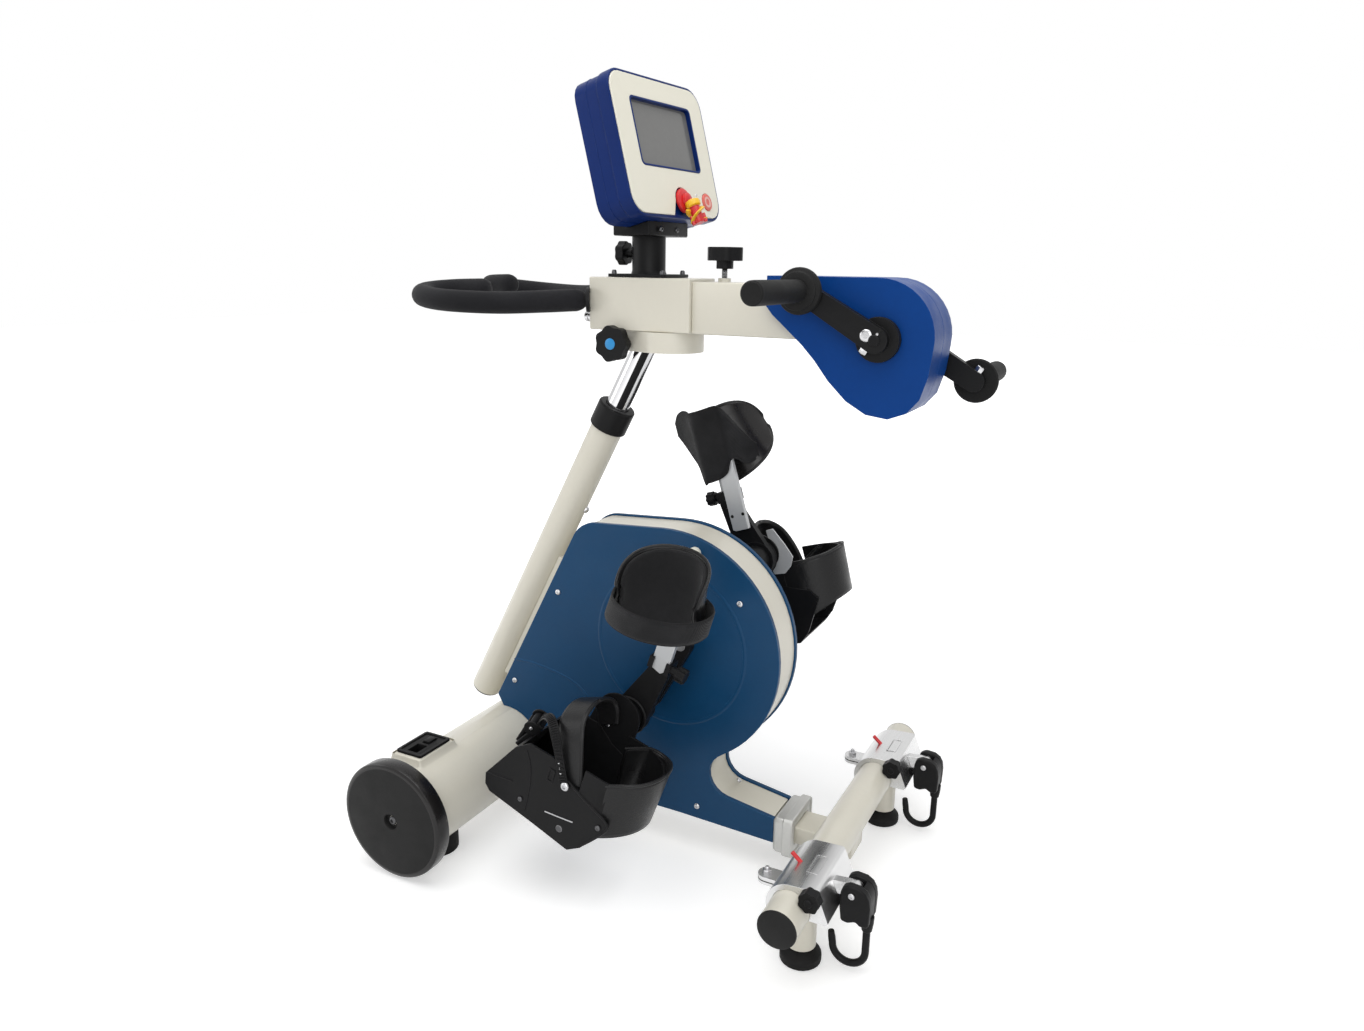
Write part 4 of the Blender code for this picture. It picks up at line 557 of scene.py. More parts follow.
def make_stage():
    form = bmesh.new()
    bmesh.ops.create_grid(form, x_segments=1, y_segments=1, size=14.0)
    mesh = bpy.data.meshes.new("floor")
    form.to_mesh(mesh)
    form.free()
    floor = bpy.data.objects.new("floor", mesh)
    floor.location = (0, 0, -0.0004)
    bpy.context.scene.collection.objects.link(floor)
    looks = Looks("floor")
    looks.set(Roughness=0.9)
    patches = looks.span(looks.noise(3.0), 0.3, 0.7)
    looks.give(looks.mix(patches, (0.79, 0.79, 0.79), (0.81, 0.81, 0.81)), "Base Color")
    away = looks.add("ShaderNodeVectorMath", operation="LENGTH")
    looks.link(looks.place, away.inputs[0])
    glow = looks.add("ShaderNodeEmission")
    fade = looks.span(away.outputs["Value"], 0.7, 2.2, INDIRECT, 1.0)
    looks.link(looks.math("MULTIPLY", looks.seen(), fade), glow.inputs["Strength"])
    both = looks.add("ShaderNodeAddShader")
    looks.link(looks.shader.outputs[0], both.inputs[0])
    looks.link(glow.outputs[0], both.inputs[1])
    looks.link(both.outputs[0], looks.tree.nodes["Material Output"].inputs["Surface"])
    mesh.materials.append(looks.material)

    world = bpy.data.worlds.new("studio")
    bpy.context.scene.world = world
    world.use_nodes = True
    studio = Nodes(world.node_tree)
    back = studio.tree.nodes["Background"]
    back.inputs["Color"].default_value = (1, 1, 1, 1)
    studio.link(studio.span(studio.seen(), 0.0, 1.0, INDIRECT, 1.0), back.inputs["Strength"])


def make_lamps():
    for name, (place, target, size, power) in LAMPS.items():
        data = bpy.data.lights.new(name, "AREA")
        data.shape = "RECTANGLE"
        data.size, data.size_y = size
        data.energy = power
        lamp = bpy.data.objects.new(name, data)
        lamp.location = place
        lamp.rotation_euler = (Vector(target) - Vector(place)).to_track_quat("-Z", "Y").to_euler()
        bpy.context.scene.collection.objects.link(lamp)


# Foam handles

HANDLE_ROUTE = ((-0.098, 0.034, 0.932), (-0.140, 0.056, 0.932), (-0.190, 0.085, 0.929), (-0.260, 0.122, 0.926),
                (-0.340, 0.146, 0.928), (-0.402, 0.130, 0.933), (-0.424, 0.088, 0.938), (-0.398, 0.048, 0.942),
                (-0.340, 0.034, 0.944))
HANDLE_R = 0.0175
HANDLE_START = 9  # the line's points before this one lie inside the head
HANDLE_LIFT = {"left": 0.0, "right": 0.007}  # the far handle stands a little higher


def make_handles():
    for side in SIDES:
        route = [at(x, y * sign(side), z + HANDLE_LIFT[side]) for x, y, z in HANDLE_ROUTE]
        line = curve_points(route, 10)[HANDLE_START:]
        ends = [0.55, 0.80, 0.93] + [1.0] * (len(line) - 6) + [0.93, 0.80, 0.50]
        sleeve = sweep(f"handle_sleeve_{side}", line, circle(HANDLE_R, 28), "black_foam", "head", scale=ends,
                       sharp=60.0, replaces=(f"handle_foam_{side}",))


# Console

CASE_HALF = (0.1255, 0.1055)
FACE_HALF = (0.1206, 0.1006)
DISPLAY = (0.003, 0.0195)
DISPLAY_HALF = (0.0790, 0.0474)
DISPLAY_BORDER_HALF = (0.0818, 0.0502)
CASE_SEAM = rounded((0.1236, 0.1036), 0.0301, 8)
FACE_EDGE = rounded((0.1208, 0.1008), 0.0275, 8)
CASE_SCREW = (0.105, 0.085)
START_BUTTON = (0.085, -0.076)
STOP_BUTTON = (0.014, -0.078)


def make_console():
    body, forward = "console", aim(FACE, 1, 0, 0)
    dress("console_case", bevel=0.0055, segments=4)
    dress("console_face", bevel=0.0012, segments=3)
    dress("console_bracket", bevel=0.0015)
    ring_panel("case_rim", rounded(CASE_HALF, 0.0330, 8), rounded(FACE_HALF, 0.0280, 8), -0.0230, -0.0012, "X", FACE,
               "navy_case", body, bevel=0.0022, segments=3)
    outer = rounded(DISPLAY_BORDER_HALF, 0.008, middle=DISPLAY)
    inner = rounded(DISPLAY_HALF, 0.006, middle=DISPLAY)
    ring_panel("screen_border", outer, inner, -0.0072, 0.0006, "X", FACE, "navy_case", body, bevel=0.0006)
    panel("screen_glass_pane", inner, -0.0074, -0.0066, "X", FACE, "screen_glass", body, replaces=("console_screen",))
    for name, outline, depth, section in (("case_seam_front", CASE_SEAM, -0.0235, circle(0.0004, 6)),
                                          ("case_seam_back", CASE_SEAM, -0.043, circle(0.0004, 6)),
                                          ("face_gap", FACE_EDGE, -0.0046, circle(0.0009, 8))):
        line = [spot(FACE, depth, a, b) for a, b in outline]
        sweep(name, line, section, "navy_case", body, up=forward, closed_line=True)
    for k, (a, b) in enumerate(((-1, -1), (1, -1), (-1, 1), (1, 1))):
        screw(f"case_screw_{k}", spot(FACE, -0.0640, a * CASE_SCREW[0], b * CASE_SCREW[1]), -forward, 0.0035, body)
    for k, y in enumerate((-0.033, 0.018)):
        screw(f"bracket_bolt_{k}", at(-0.0125, y, 1.0405), Vector((1, -0.1, 0)), 0.0042, body,
              finish="dark_steel", recess="socket", high=0.003)
    place = spot(FACE, 0, *START_BUTTON)
    lathe("start_cap", [(0.0, 0.0016), (0.0118, 0.0016), (0.0128, 0.0013), (0.0134, 0.0004), (0.0134, -0.0030),
                        (0.0, -0.0030)], place, forward, "button_salmon", "start_button", sides=48,
          replaces=("start_button",))
    lathe("start_ring", [(0.0052, 0.0014), (0.0052, 0.0019), (0.0086, 0.0019), (0.0086, 0.0014)],
          place, forward, "button_pale", "start_button", sides=48, closed=True)
    make_stop(forward)


KEY_TOP = (0.0150, 0.0, -0.0050)  # from the middle of the stop disc: forward, right and up
KEY_END = (0.0225, -0.001, -0.0400)
CURL_STEPS = 14


def make_stop(forward):
    """The stop disc, and the key that hangs from it: a yellow curl around a red core."""
    key, (across, up) = "stop_key", STOP_BUTTON
    middle = spot(FACE, 0, across, up)
    lathe("stop_disc", [(0.0, 0.0046), (0.0120, 0.0050), (0.0160, 0.0044), (0.0182, 0.0030), (0.0186, 0.0012),
                        (0.0186, -0.0010), (0.0, -0.0010)], middle, forward, "stop_red", "stop_button", sides=56,
          replaces=("stop_button",))
    lathe("key_collar", [(0.0, 0.0048), (0.0096, 0.0048), (0.0102, 0.0060), (0.0096, 0.0105), (0.0066, 0.0125),
                         (0.0, 0.0130)], middle, forward, "stop_red", key, sides=40)
    top, low = (spot(FACE, x, across + a, up + b) for x, a, b in (KEY_TOP, KEY_END))
    along, long = (low - top).normalized(), (low - top).length
    place = Matrix.Translation(top) @ frame_on(along)
    lathe("key_core", [(0.0, 0.0), (0.0072, 0.0010), (0.0082, 0.0060), (0.0082, long - 0.003), (0.0070, long),
                       (0.0, long)], top, along, "stop_red", key, sides=28, replaces=("stop_key",))
    lathe("key_collar_yellow", [(0.0084, -0.0015), (0.0112, 0.0), (0.0120, 0.0030), (0.0116, 0.0080),
                                (0.0084, 0.0095)], top, along, "key_yellow", key, sides=36, closed=True)
    shares = [step / CURL_STEPS for step in range(CURL_STEPS + 1)]
    for k in range(2):
        angles = [math.radians(180 * k + 25 + 210 * share) for share in shares]
        curl = [spot(place, 0.0098 * math.cos(angle), 0.0098 * math.sin(angle), 0.012 + (long - 0.016) * share)
                for angle, share in zip(angles, shares)]
        sweep(f"key_curl_{k}", curl, oval(0.0058, 0.0026, 12), "key_yellow", key, up=along,
              scale=[1.0 - 0.35 * share for share in shares], sharp=60.0)
        box_piece(f"key_wing_{k}", (0.0070, -0.0028, long * 0.62), (0.0124, 0.0028, long * 1.02),
                  place @ turn(40 + 180 * k, "Z"), "stop_red", key, bevel=0.0012)
    rivet("key_pin", spot(FACE, 0.0245, across, up + 0.0015), forward, 0.0016, 0.0020, 0.0016, key, sides=14)


# Head and swivel

HEAD_LOW, HEAD_HIGH = at(-0.135, -0.045, 0.886), at(0.044, 0.045, 0.968)
FLANGE, FLANGE_HALF, FLANGE_Z = at(-0.0520, 0, 0), (0.0510, 0.042), (0.9683, 0.9733)
FLANGE_BOLTS = tuple((x, y) for x in (-0.095, -0.009) for y in (-0.034, 0.034))
HANDLE_ROOT_Y = 0.0525
STRIP_R, STRIP_DEPTH, STRIP_HALF, STRIP_Z = 0.0202, 0.0012, 17, (0.632, 0.742)  # half its width is in degrees


def make_head():
    body = "head"
    box_piece("head_box_skin", HEAD_LOW, HEAD_HIGH, WORLD, "cream_paint", body, bevel=0.0022, segments=3,
              replaces=("head_box",))
    panel("console_flange", rounded(FLANGE_HALF, 0.004, middle=FLANGE), *FLANGE_Z, "Z", WORLD, "black_plastic", body,
          bevel=0.0008, replaces=("console_post",))
    lathe("console_tube", [(0.0, 0.0), (0.0285, 0.0), (0.0272, 0.0030), (0.0265, 0.0060), (0.0265, 0.0570),
                           (0.0245, 0.0570), (0.0245, 0.0565), (0.0, 0.0565)], at(-0.0515, 0, 0.9730), Z,
          "black_plastic", body, sides=56)
    for node, bevel, segments in (("console_knob", 0.0022, 3), ("swivel_knob", 0.0028, 3),
                                  ("swivel_casting", 0.004, 4), ("chrome_post", 0.0006, 2), ("arm_beam", 0.0022, 3)):
        dress(node, bevel=bevel, segments=segments)
    lathe("swivel_knob_cap", [(0.0, 0.0016), (0.0070, 0.0014), (0.0088, 0.0006), (0.0090, -0.001)],
          at(-0.084, -0.0660, 0.866), -Y, "knob_cyan", "swivel_knob")
    for k, (x, y) in enumerate(FLANGE_BOLTS):
        screw(f"flange_bolt_{k}", at(x, y, 0.9736), Z, 0.0040, body, finish="dark_steel", recess="socket", high=0.0060)
    for side in SIDES:
        y = HANDLE_ROOT_Y * sign(side)
        heading = Vector((-0.042, 0.022 * sign(side), 0)).normalized()
        lathe(f"handle_washer_{side}", [(0.0128, -0.004), (0.0192, -0.004), (0.0192, 0.0015), (0.0128, 0.0015)],
              at(-0.1335, y, 0.932), heading, "black_plastic", body, closed=True, bevel=0.0008)
        lathe(f"handle_lock_{side}", [(0.0, -0.002), (0.0086, -0.002), (0.0086, 0.0035), (0.0072, 0.0038),
                                      (0.0072, 0.0068), (0.0086, 0.0070), (0.0086, 0.0125), (0.0, 0.0135)],
              at(-0.1350, y * 0.62, 0.9055), -X, "steel", body, bevel=0.0006)
    screw("spindle_bolt", at(-0.0095, 0, 0.8545), -Z, 0.010, "mast", recess="hex_head", high=0.004)
    outline = around((0, 0), STRIP_R, -STRIP_HALF, STRIP_HALF, 8)
    outline += around((0, 0), STRIP_R - STRIP_DEPTH, STRIP_HALF, -STRIP_HALF, 8)
    panel("post_strip", outline, *STRIP_Z, "Z", COLUMN @ turn(-52.0, "Z"), "black_plastic", "mast")


# Arm unit

ARM_HUB = at(0.344, 0, 0.892)
ARM_FACE = 0.0811  # from the machine's middle to a crank's outer face
ARM_PIN = 0.126
GRIP_END = 0.2528
ARM_ANGLES = {"left": 150.0, "right": 330.0}
KNOB_TOP = at(0.081, 0, 0.995)
THREAD_FROM, THREAD_PITCH, THREADS = 0.0150, 0.0022, 7


def make_arm():
    body = "arm_crank"
    for side in SIDES:
        dress(f"arm_housing_{side}", bevel=0.0060, segments=5)
        dress(f"arm_crank_{side}", bevel=0.0016, segments=3)
        out = Y * sign(side)
        angle = math.radians(ARM_ANGLES[side])
        along = Vector((math.cos(angle), 0, math.sin(angle)))
        over = Vector((-along.z, 0, along.x))
        face = ARM_HUB + out * ARM_FACE
        pin = ARM_HUB + along * ARM_PIN
        lathe(f"arm_spindle_end_{side}", [(0.0, 0.0030), (0.0070, 0.0030), (0.0078, 0.0022), (0.0078, -0.002)],
              face, out, "black_plastic", body, sides=24)
        screw(f"arm_clamp_bolt_{side}", face + along * 0.0135 + over * 0.0005 - out * 0.0005, out, 0.0085, body,
              recess="socket", high=0.0022)
        screw(f"arm_pinch_bolt_{side}", face + along * 0.0060 + over * 0.0185 - out * 0.0076, over, 0.0062, body,
              recess="hex_head", high=0.0065)
        screw(f"grip_nut_{side}", pin + over * 0.0150 - along * 0.004 + out * 0.0735, over, 0.0062, body,
              recess="hex_head", high=0.0080)
        # Painted shade: a thin black block on the crank's face stands in for the dark inside of the clamp's slit.
        box_piece(f"arm_clamp_slot_shade_{side}", (0.004, -0.0011, 0.0), (0.0185, 0.0011, 0.0006),
                  Matrix.Translation(face) @ axes(along.cross(out), -along, out), "black_rubber", body)
        rivet(f"arm_rivet_{side}", face + along * 0.0010 - over * 0.0095 - out * 0.0001, out, 0.0018, 0.0022, 0.0012,
              body)
        lathe(f"arm_lever_shoulder_{side}", [(0.0315, 0.0), (0.0290, 0.0040), (0.0200, 0.0052), (0.0200, 0.0)],
              ARM_HUB + out * 0.0612, out, "black_plastic", body, closed=True)
        lathe(f"grip_sleeve_{side}", [(0.0, 0.0), (0.0138, 0.0), (0.0160, 0.0022), (0.0163, 0.010), (0.0160, 0.140),
                                      (0.0160, 0.1562), (0.0230, 0.1568), (0.0262, 0.1582), (0.0272, 0.1610),
                                      (0.0290, 0.1622), (0.0312, 0.1632), (0.0325, 0.1655), (0.0325, 0.1696),
                                      (0.0310, 0.1716), (0.0, 0.1716)],
              pin + out * GRIP_END, -out, "black_rubber", f"hand_grip_{side}", sides=40,
              replaces=(f"hand_grip_{side}",))
    dress("extension_knob", bevel=0.0055, segments=5)
    for k in range(THREADS):
        lathe(f"knob_thread_{k}", [(0.0040, -0.0007), (0.0049, 0.0), (0.0040, 0.0007)],
              KNOB_TOP - Z * (THREAD_FROM + THREAD_PITCH * k), Z, "steel", "extension_knob", sides=20, closed=True)


# Casing and column

COVER_FACE = 0.0410
COVER_SCREWS = ((-0.2084, 0.4268), (-0.3084, 0.2377), (0.141, 0.4659), (0.072, 0.0856))
COVER_CREASE = ((-0.3090, 0.2800), (-0.2750, 0.2810), (-0.2380, 0.2770), (-0.2020, 0.2700), (-0.1740, 0.2600),
                (-0.1520, 0.2430), (-0.1370, 0.2180), (-0.1300, 0.1850))
BAND_SCREWS = (((0.1500, -0.012, 0.1050), (0.25, 0, 1)), ((0.1270, 0.010, 0.1245), (0.9, 0, 0.7)))


def make_casing():
    body = "base"
    for side in SIDES:
        out, face = Y * sign(side), COVER_FACE * sign(side)
        dress(f"casing_cover_{side}", bevel=0.0032, segments=4)
        dress(f"leg_crank_{side}", bevel=0.0016, segments=3)
        lathe(f"cover_emboss_{side}", [(0.1425, -0.0012), (0.1412, -0.0001), (0.1388, 0.0007), (0.1362, 0.0009),
                                       (0.1340, 0.0002), (0.1330, -0.0012)],
              at(0.015, face, 0.370), out, "blue_cover", body, sides=96, closed=True)
        line = curve_points([at(x, face - 0.0006 * sign(side), z) for x, z in COVER_CREASE], 6)
        ends = [0.2, 0.6] + [1.0] * (len(line) - 4) + [0.6, 0.2]
        sweep(f"cover_crease_{side}", line, oval(0.0030, 0.0015, 12), "blue_cover", body, up=out, scale=ends)
        for k, (x, z) in enumerate(COVER_SCREWS):
            screw(f"cover_screw_{side}_{k}", at(x, face, z), out, 0.0052, body)
        lathe(f"cover_grommet_{side}", [(0.0060, 0.0), (0.0105, 0.0), (0.0108, 0.0105), (0.0098, 0.0125),
                                        (0.0075, 0.0128), (0.0062, 0.0110)],
              at(0.0600, face, 0.5385), out, "cream_face", body, closed=True)
    dress("main_frame", bevel=0.0010)
    dress("column_tube", bevel=0.0010)
    dress("column_collar", bevel=0.0020, segments=3)
    for k, (place, way) in enumerate(BAND_SCREWS):
        screw(f"band_screw_{k}", at(*place), Vector(way), 0.0045, body)
    lathe("column_plug", [(0.0, -0.0052), (0.0190, -0.0050), (0.0245, -0.0038), (0.0268, -0.0012), (0.0270, 0.0006),
                          (0.0, 0.0006)], spot(COLUMN, 0, 0, -0.0142), aim(COLUMN, 0, 0, 1), "black_plastic", body,
          sides=40)
    screw("column_bolt", spot(COLUMN, 0.0259, 0.0046, 0.4300), aim(COLUMN, 0.985, 0.175, 0), 0.0062, body,
          recess="socket", high=0.0060)


# Rear base

TUBE_X, TUBE_Z, TUBE_R = -0.330, 0.105, 0.075
WHEEL_INNER = 0.3233
INLET = at(-0.345, -0.250, 0)
INLET_HALF, INLET_TOP = (0.0310, 0.0440), 0.1902
SKIRT = ((0.0, 0.0), (0.0012, -0.0035), (0.0030, -0.0100), (0.0068, -0.0170), (0.0130, -0.0230), (0.0230, -0.0290))


def make_rear():
    dress("rear_base_tube", bevel=0.0012)
    dress("power_inlet", bevel=0.0008)
    dress("power_switch", bevel=0.0008)
    for side in SIDES:
        dress(f"rear_foot_{side}", bevel=0.0025, segments=3)
        body, out = f"wheel_{side}", Y * sign(side)
        inner = at(TUBE_X, WHEEL_INNER * sign(side), TUBE_Z)
        lathe(f"wheel_rim_{side}", [(0.0400, 0.0030), (0.0955, 0.0), (0.0985, 0.0012), (0.1000, 0.0040),
                                    (0.1000, 0.0236), (0.0992, 0.0262), (0.0965, 0.0283), (0.0925, 0.0288),
                                    (0.0400, 0.0288)], inner, out, "gloss_black", body, sides=96, closed=True)
        lathe(f"wheel_face_{side}", [(0.0050, 0.0226), (0.0128, 0.0226), (0.0132, 0.0282), (0.0138, 0.0291),
                                     (0.0905, 0.0291), (0.0925, 0.0286), (0.0925, 0.0040), (0.0050, 0.0040)],
              inner, out, "wheel_matte", body, sides=96, closed=True, replaces=(f"transport_wheel_{side}",))
        screw(f"wheel_screw_{side}", inner + out * 0.0226, out, 0.0075, body, finish="dark_steel", recess="socket",
              high=0.0032)
        screw(f"tube_screw_{side}", at(-0.2625, 0.255 * sign(side), 0.0985), Vector((0.96, 0, -0.10)), 0.0062, "base",
              high=0.0042)
    make_inlet()


def make_inlet():
    """The inlet's frame, and the moulded skirt that fits it to the round tube."""
    form = bmesh.new()
    rings = []
    for grow, depth in SKIRT:
        ring = []
        for x, y in rounded([half + grow for half in INLET_HALF], 0.004 + grow):
            across = min(TUBE_R - 0.001, abs(INLET.x + x - at(TUBE_X, 0, 0).x))
            crown = TUBE_Z + math.sqrt(TUBE_R ** 2 - across ** 2)
            height = max(INLET_TOP + depth, crown + 0.0004) if depth > -0.028 else crown - 0.0010
            ring.append(form.verts.new((INLET.x + x, INLET.y + y, height)))
        rings.append(ring)
    for low, high in zip(rings, rings[1:]):
        join_rows(form, low, high)
    finish_piece("inlet_skirt", form, "cream_paint", "base", sharp=50.0)
    ring_panel("inlet_frame", rounded((0.0265, 0.0375), 0.004), rounded((0.0215, 0.0325), 0.003), 0.1904, 0.1950, "Z",
               Matrix.Translation(INLET), "black_plastic", "base", bevel=0.0008)


# Front tube, clamps and hooks

STEP_MIDDLE = (0.0, 0.0755)
STEP_X = (at(0.2310, 0, 0).x, at(0.2490, 0, 0).x)
CLAMP_Y = 0.205
HOOD_X = 0.345
TAB_X, TAB_R, TAB_LONG = 0.2700, 0.01465, 0.026
CLAMP_KNOB = (0.3615, 0.1500)
HOOK_SLOT, HOOK_CHEEK, HOOK_SPINE, HOOK_BEND = 0.0076, 0.0225, 0.0185, 0.0245
CHEEK_OUTLINE = ((0.3895, 0.0940), (0.4000, 0.0925), (0.4110, 0.0975), (0.4175, 0.0925), (0.4300, 0.0935),
                 (0.4310, 0.1250), (0.4292, 0.1370), (0.4240, 0.1460), (0.4150, 0.1515), (0.3990, 0.1530),
                 (0.3900, 0.1480), (0.3872, 0.1380), (0.3868, 0.1150))
SPINE_OUTLINE = ((0.4165, 0.0940), (0.4292, 0.0950), (0.4302, 0.1250), (0.4285, 0.1365), (0.4236, 0.1450),
                 (0.4165, 0.1490))


def make_front():
    dress("front_collar", bevel=0.0050, segments=4)
    ring_panel("collar_step", rounded((0.0500, 0.0355), 0.010, middle=STEP_MIDDLE),
               rounded((0.0440, 0.0295), 0.006, middle=STEP_MIDDLE), *STEP_X, "X", WORLD, "cast_grey", "base",
               bevel=0.0030, segments=3)
    dress("front_tube", bevel=0.0010)
    for side in SIDES:
        lathe(f"end_cap_{side}", [(0.0, 0.0032), (0.0262, 0.0030), (0.0284, 0.0018), (0.0291, 0.0), (0.0291, -0.0002),
                                  (0.0250, -0.0002), (0.0250, -0.0100), (0.0, -0.0100)],
              at(0.329, 0.3171 * sign(side), 0.118), Y * sign(side), "wheel_matte", "base", sides=48)
        dress(f"levelling_foot_{side}", bevel=0.0025, segments=3)
        make_clamp(side, CLAMP_Y * sign(side))
        make_hook(side, CLAMP_Y * sign(side))


def make_clamp(side, middle):
    body = f"chair_clamp_{side}"
    dress(f"chair_clamp_{side}", bevel=0.0012, segments=3)
    dress(f"clamp_knob_{side}", bevel=0.0018, segments=3)
    hood = (HOOD_X - MIDDLE_X, middle)
    ring_panel(f"hood_emboss_{side}", rounded((0.0085, 0.0240), 0.001, 2, hood),
               rounded((0.0065, 0.0220), 0.0006, 2, hood), 0.1568, 0.1576, "Z", WORLD, "aluminium", body, bevel=0.0002)
    pin_from, pin_to = at(0.3060, middle, 0.1655), at(0.3215, middle, 0.1520)
    lathe(f"red_pin_{side}", [(0.0, 0.0), (0.0026, 0.0), (0.0032, 0.0006), (0.0032, 0.0205), (0.0, 0.0205)],
          pin_from, (pin_to - pin_from).normalized(), "red_pin", body, sides=20)
    nut = at(0.2690, middle, 0.1195)
    screw(f"tab_nut_{side}", nut, Z, 0.0070, body, recess="hex_head", high=0.0056)
    screw(f"tab_bolt_{side}", at(0.2690, middle, 0.1070), -Z, 0.0070, body, recess="hex_head", high=0.0045)
    lathe(f"tab_stud_{side}", [(0.0034, 0.0), (0.0034, 0.0090), (0.0024, 0.0104), (0.0, 0.0106)], nut, Z, "steel",
          body, sides=20)
    # Painted shade: a thin black sheet in the split of the clamp's tab stands in for the dark gap.
    tab = around((TAB_X - MIDDLE_X, middle), TAB_R, 90, 270, 20)
    tab += [(TAB_X + TAB_LONG - MIDDLE_X, middle + y) for y in (-TAB_R, TAB_R)]
    panel(f"tab_gap_shade_{side}", tab, 0.1124, 0.1140, "Z", WORLD, "black_rubber", body)
    x, z = CLAMP_KNOB
    lathe(f"clamp_knob_boss_{side}", [(0.0, 0.0022), (0.0050, 0.0020), (0.0060, 0.0008), (0.0062, -0.001)],
          at(x, middle - 0.0820, z), -Y, "black_plastic", f"clamp_knob_{side}", sides=24)
    lathe(f"clamp_washer_{side}", [(0.0042, 0.0), (0.0092, 0.0), (0.0092, 0.0014), (0.0042, 0.0014)],
          at(x, middle - 0.0620, z), -Y, "steel", body, closed=True)


def make_hook(side, middle):
    body = f"chair_hook_{side}"
    stem = at(0.42325, middle, 0.112)
    bend = around((stem.x - HOOK_BEND, 0.014 + HOOK_BEND), HOOK_BEND, 0, -180, 16)
    rise = Vector((-0.003, 0, 0.0190))
    line = [stem, stem - Z * 0.02, stem - Z * 0.045] + [Vector((x, middle, z)) for x, z in bend]
    line += [line[-1] + rise * 0.5, line[-1] + rise]
    sweep(f"hook_wire_{side}", line, circle(0.0055, 20), "black_plastic", body, up=Y,
          scale=[1.0] * (len(line) - 1) + [0.86], sharp=50.0, bevel=0.0008)
    lathe(f"hook_ferrule_{side}", [(0.0, 0.0), (0.0075, 0.0), (0.0092, 0.012), (0.0098, 0.024), (0.0, 0.024)],
          stem - Z * 0.036, Z, "black_plastic", body, sides=24, bevel=0.0012)
    cheek, spine = ([(x - MIDDLE_X, z) for x, z in outline] for outline in (CHEEK_OUTLINE, SPINE_OUTLINE))
    for k, (near, far) in enumerate(((-HOOK_CHEEK, -HOOK_SLOT), (HOOK_SLOT, HOOK_CHEEK))):
        panel(f"hook_cheek_{side}_{k}", cheek, middle + near, middle + far, "Y", WORLD, "black_plastic", body,
              bevel=0.0042, segments=4)
    panel(f"hook_spine_{side}", spine, middle - HOOK_SPINE, middle + HOOK_SPINE, "Y", WORLD, "black_plastic", body,
          bevel=0.002, replaces=(f"chair_hook_{side}",))
    screw(f"hook_pin_{side}", at(0.404, middle - HOOK_CHEEK, 0.138), -Y, 0.0048, body, recess="socket", high=0.002)


# Feet

WALL_Y = 0.2850  # the shoe's outer wall
SHOE_Y = 0.2175  # the shoe's middle
SHOE_HALF = 0.0618
WINDOW = (-0.032, -0.061)
# Place, radius, lift off the wall, finish and recess
SHOE_SCREWS = {"strap_bolt": (-0.002, -0.060, 0.0072, 0.0050, "steel", "socket"),
               "heel_screw": (0.068, -0.097, 0.0045, 0.0008, "dark_steel", "cross"),
               "toe_screw": (-0.071, -0.133, 0.0042, 0.0008, "dark_steel", "cross")}
# Raised lines on the outer wall: radius, sides, steps between points, finish, inset and places
WALL_LINES = {
    "slot_line": (0.0011, 10, 1, "steel", 0.0, ((-0.024, -0.127), (0.0, -0.1215), (0.026, -0.115))),
    "toe_crease": (0.0010, 8, 6, "black_plastic", 0.0, ((-0.083, -0.045), (-0.070, -0.066), (-0.0625, -0.095),
                                                        (-0.0590, -0.125), (-0.0580, -0.148))),
    "toe_ridge": (0.0014, 8, 4, "black_plastic", 0.0, ((-0.139, -0.124), (-0.128, -0.1215), (-0.112, -0.117),
                                                       (-0.093, -0.112))),
    "wall_rim": (0.0019, 10, 5, "black_plastic", 0.0006, ((-0.002, -0.053), (0.020, -0.062), (0.048, -0.0715),
                                                          (0.074, -0.0800), (0.082, -0.092), (0.066, -0.122),
                                                          (0.048, -0.149))),
}
LOBE_RIVET = {"left": (-0.023, -0.1538, -0.023), "right": (0.0, 0.1495, 0.020)}
HEEL_X, HEEL_R, HEEL_SWELL = 0.050, 0.0622, 0.0050
HEEL_RISE = {"left": 0.030, "right": 0.012}
LADDER = ((-0.002, 0.2885, -0.064), (-0.012, 0.2890, -0.046), (-0.030, 0.2885, -0.012), (-0.044, 0.2850, 0.008),
          (-0.060, 0.2740, 0.017), (-0.078, 0.2580, 0.010), (-0.094, 0.2430, -0.012), (-0.104, 0.2330, -0.040))
INSTEP = ((0.006, 0.2780, -0.068, 0.034), (-0.006, 0.2785, -0.036, 0.048), (-0.022, 0.2740, -0.002, 0.056),
          (-0.036, 0.2580, 0.018, 0.060), (-0.042, 0.2320, 0.027, 0.062), (-0.042, 0.2050, 0.028, 0.062),
          (-0.036, 0.1780, 0.020, 0.058), (-0.028, 0.1615, 0.002, 0.054), (-0.020, 0.1560, -0.026, 0.046))
INSTEP_LEAN = (0.60, 0.80)


def make_foot(side):
    body, foot, s = f"foot_{side}", foot_frame(side), sign(side)
    out = aim(foot, 0, s, 0)
    make_shoe(side, body, foot, s, out)
    make_heel_band(side, body, foot, s, out)
    make_ladder_strap(side, body, foot, s, out)
    make_instep_pad(side, body, foot, s, out)
    make_buckle(side, body, foot, s)
    make_bracket(side, foot, s, out)
    make_calf(side, foot, s, out)


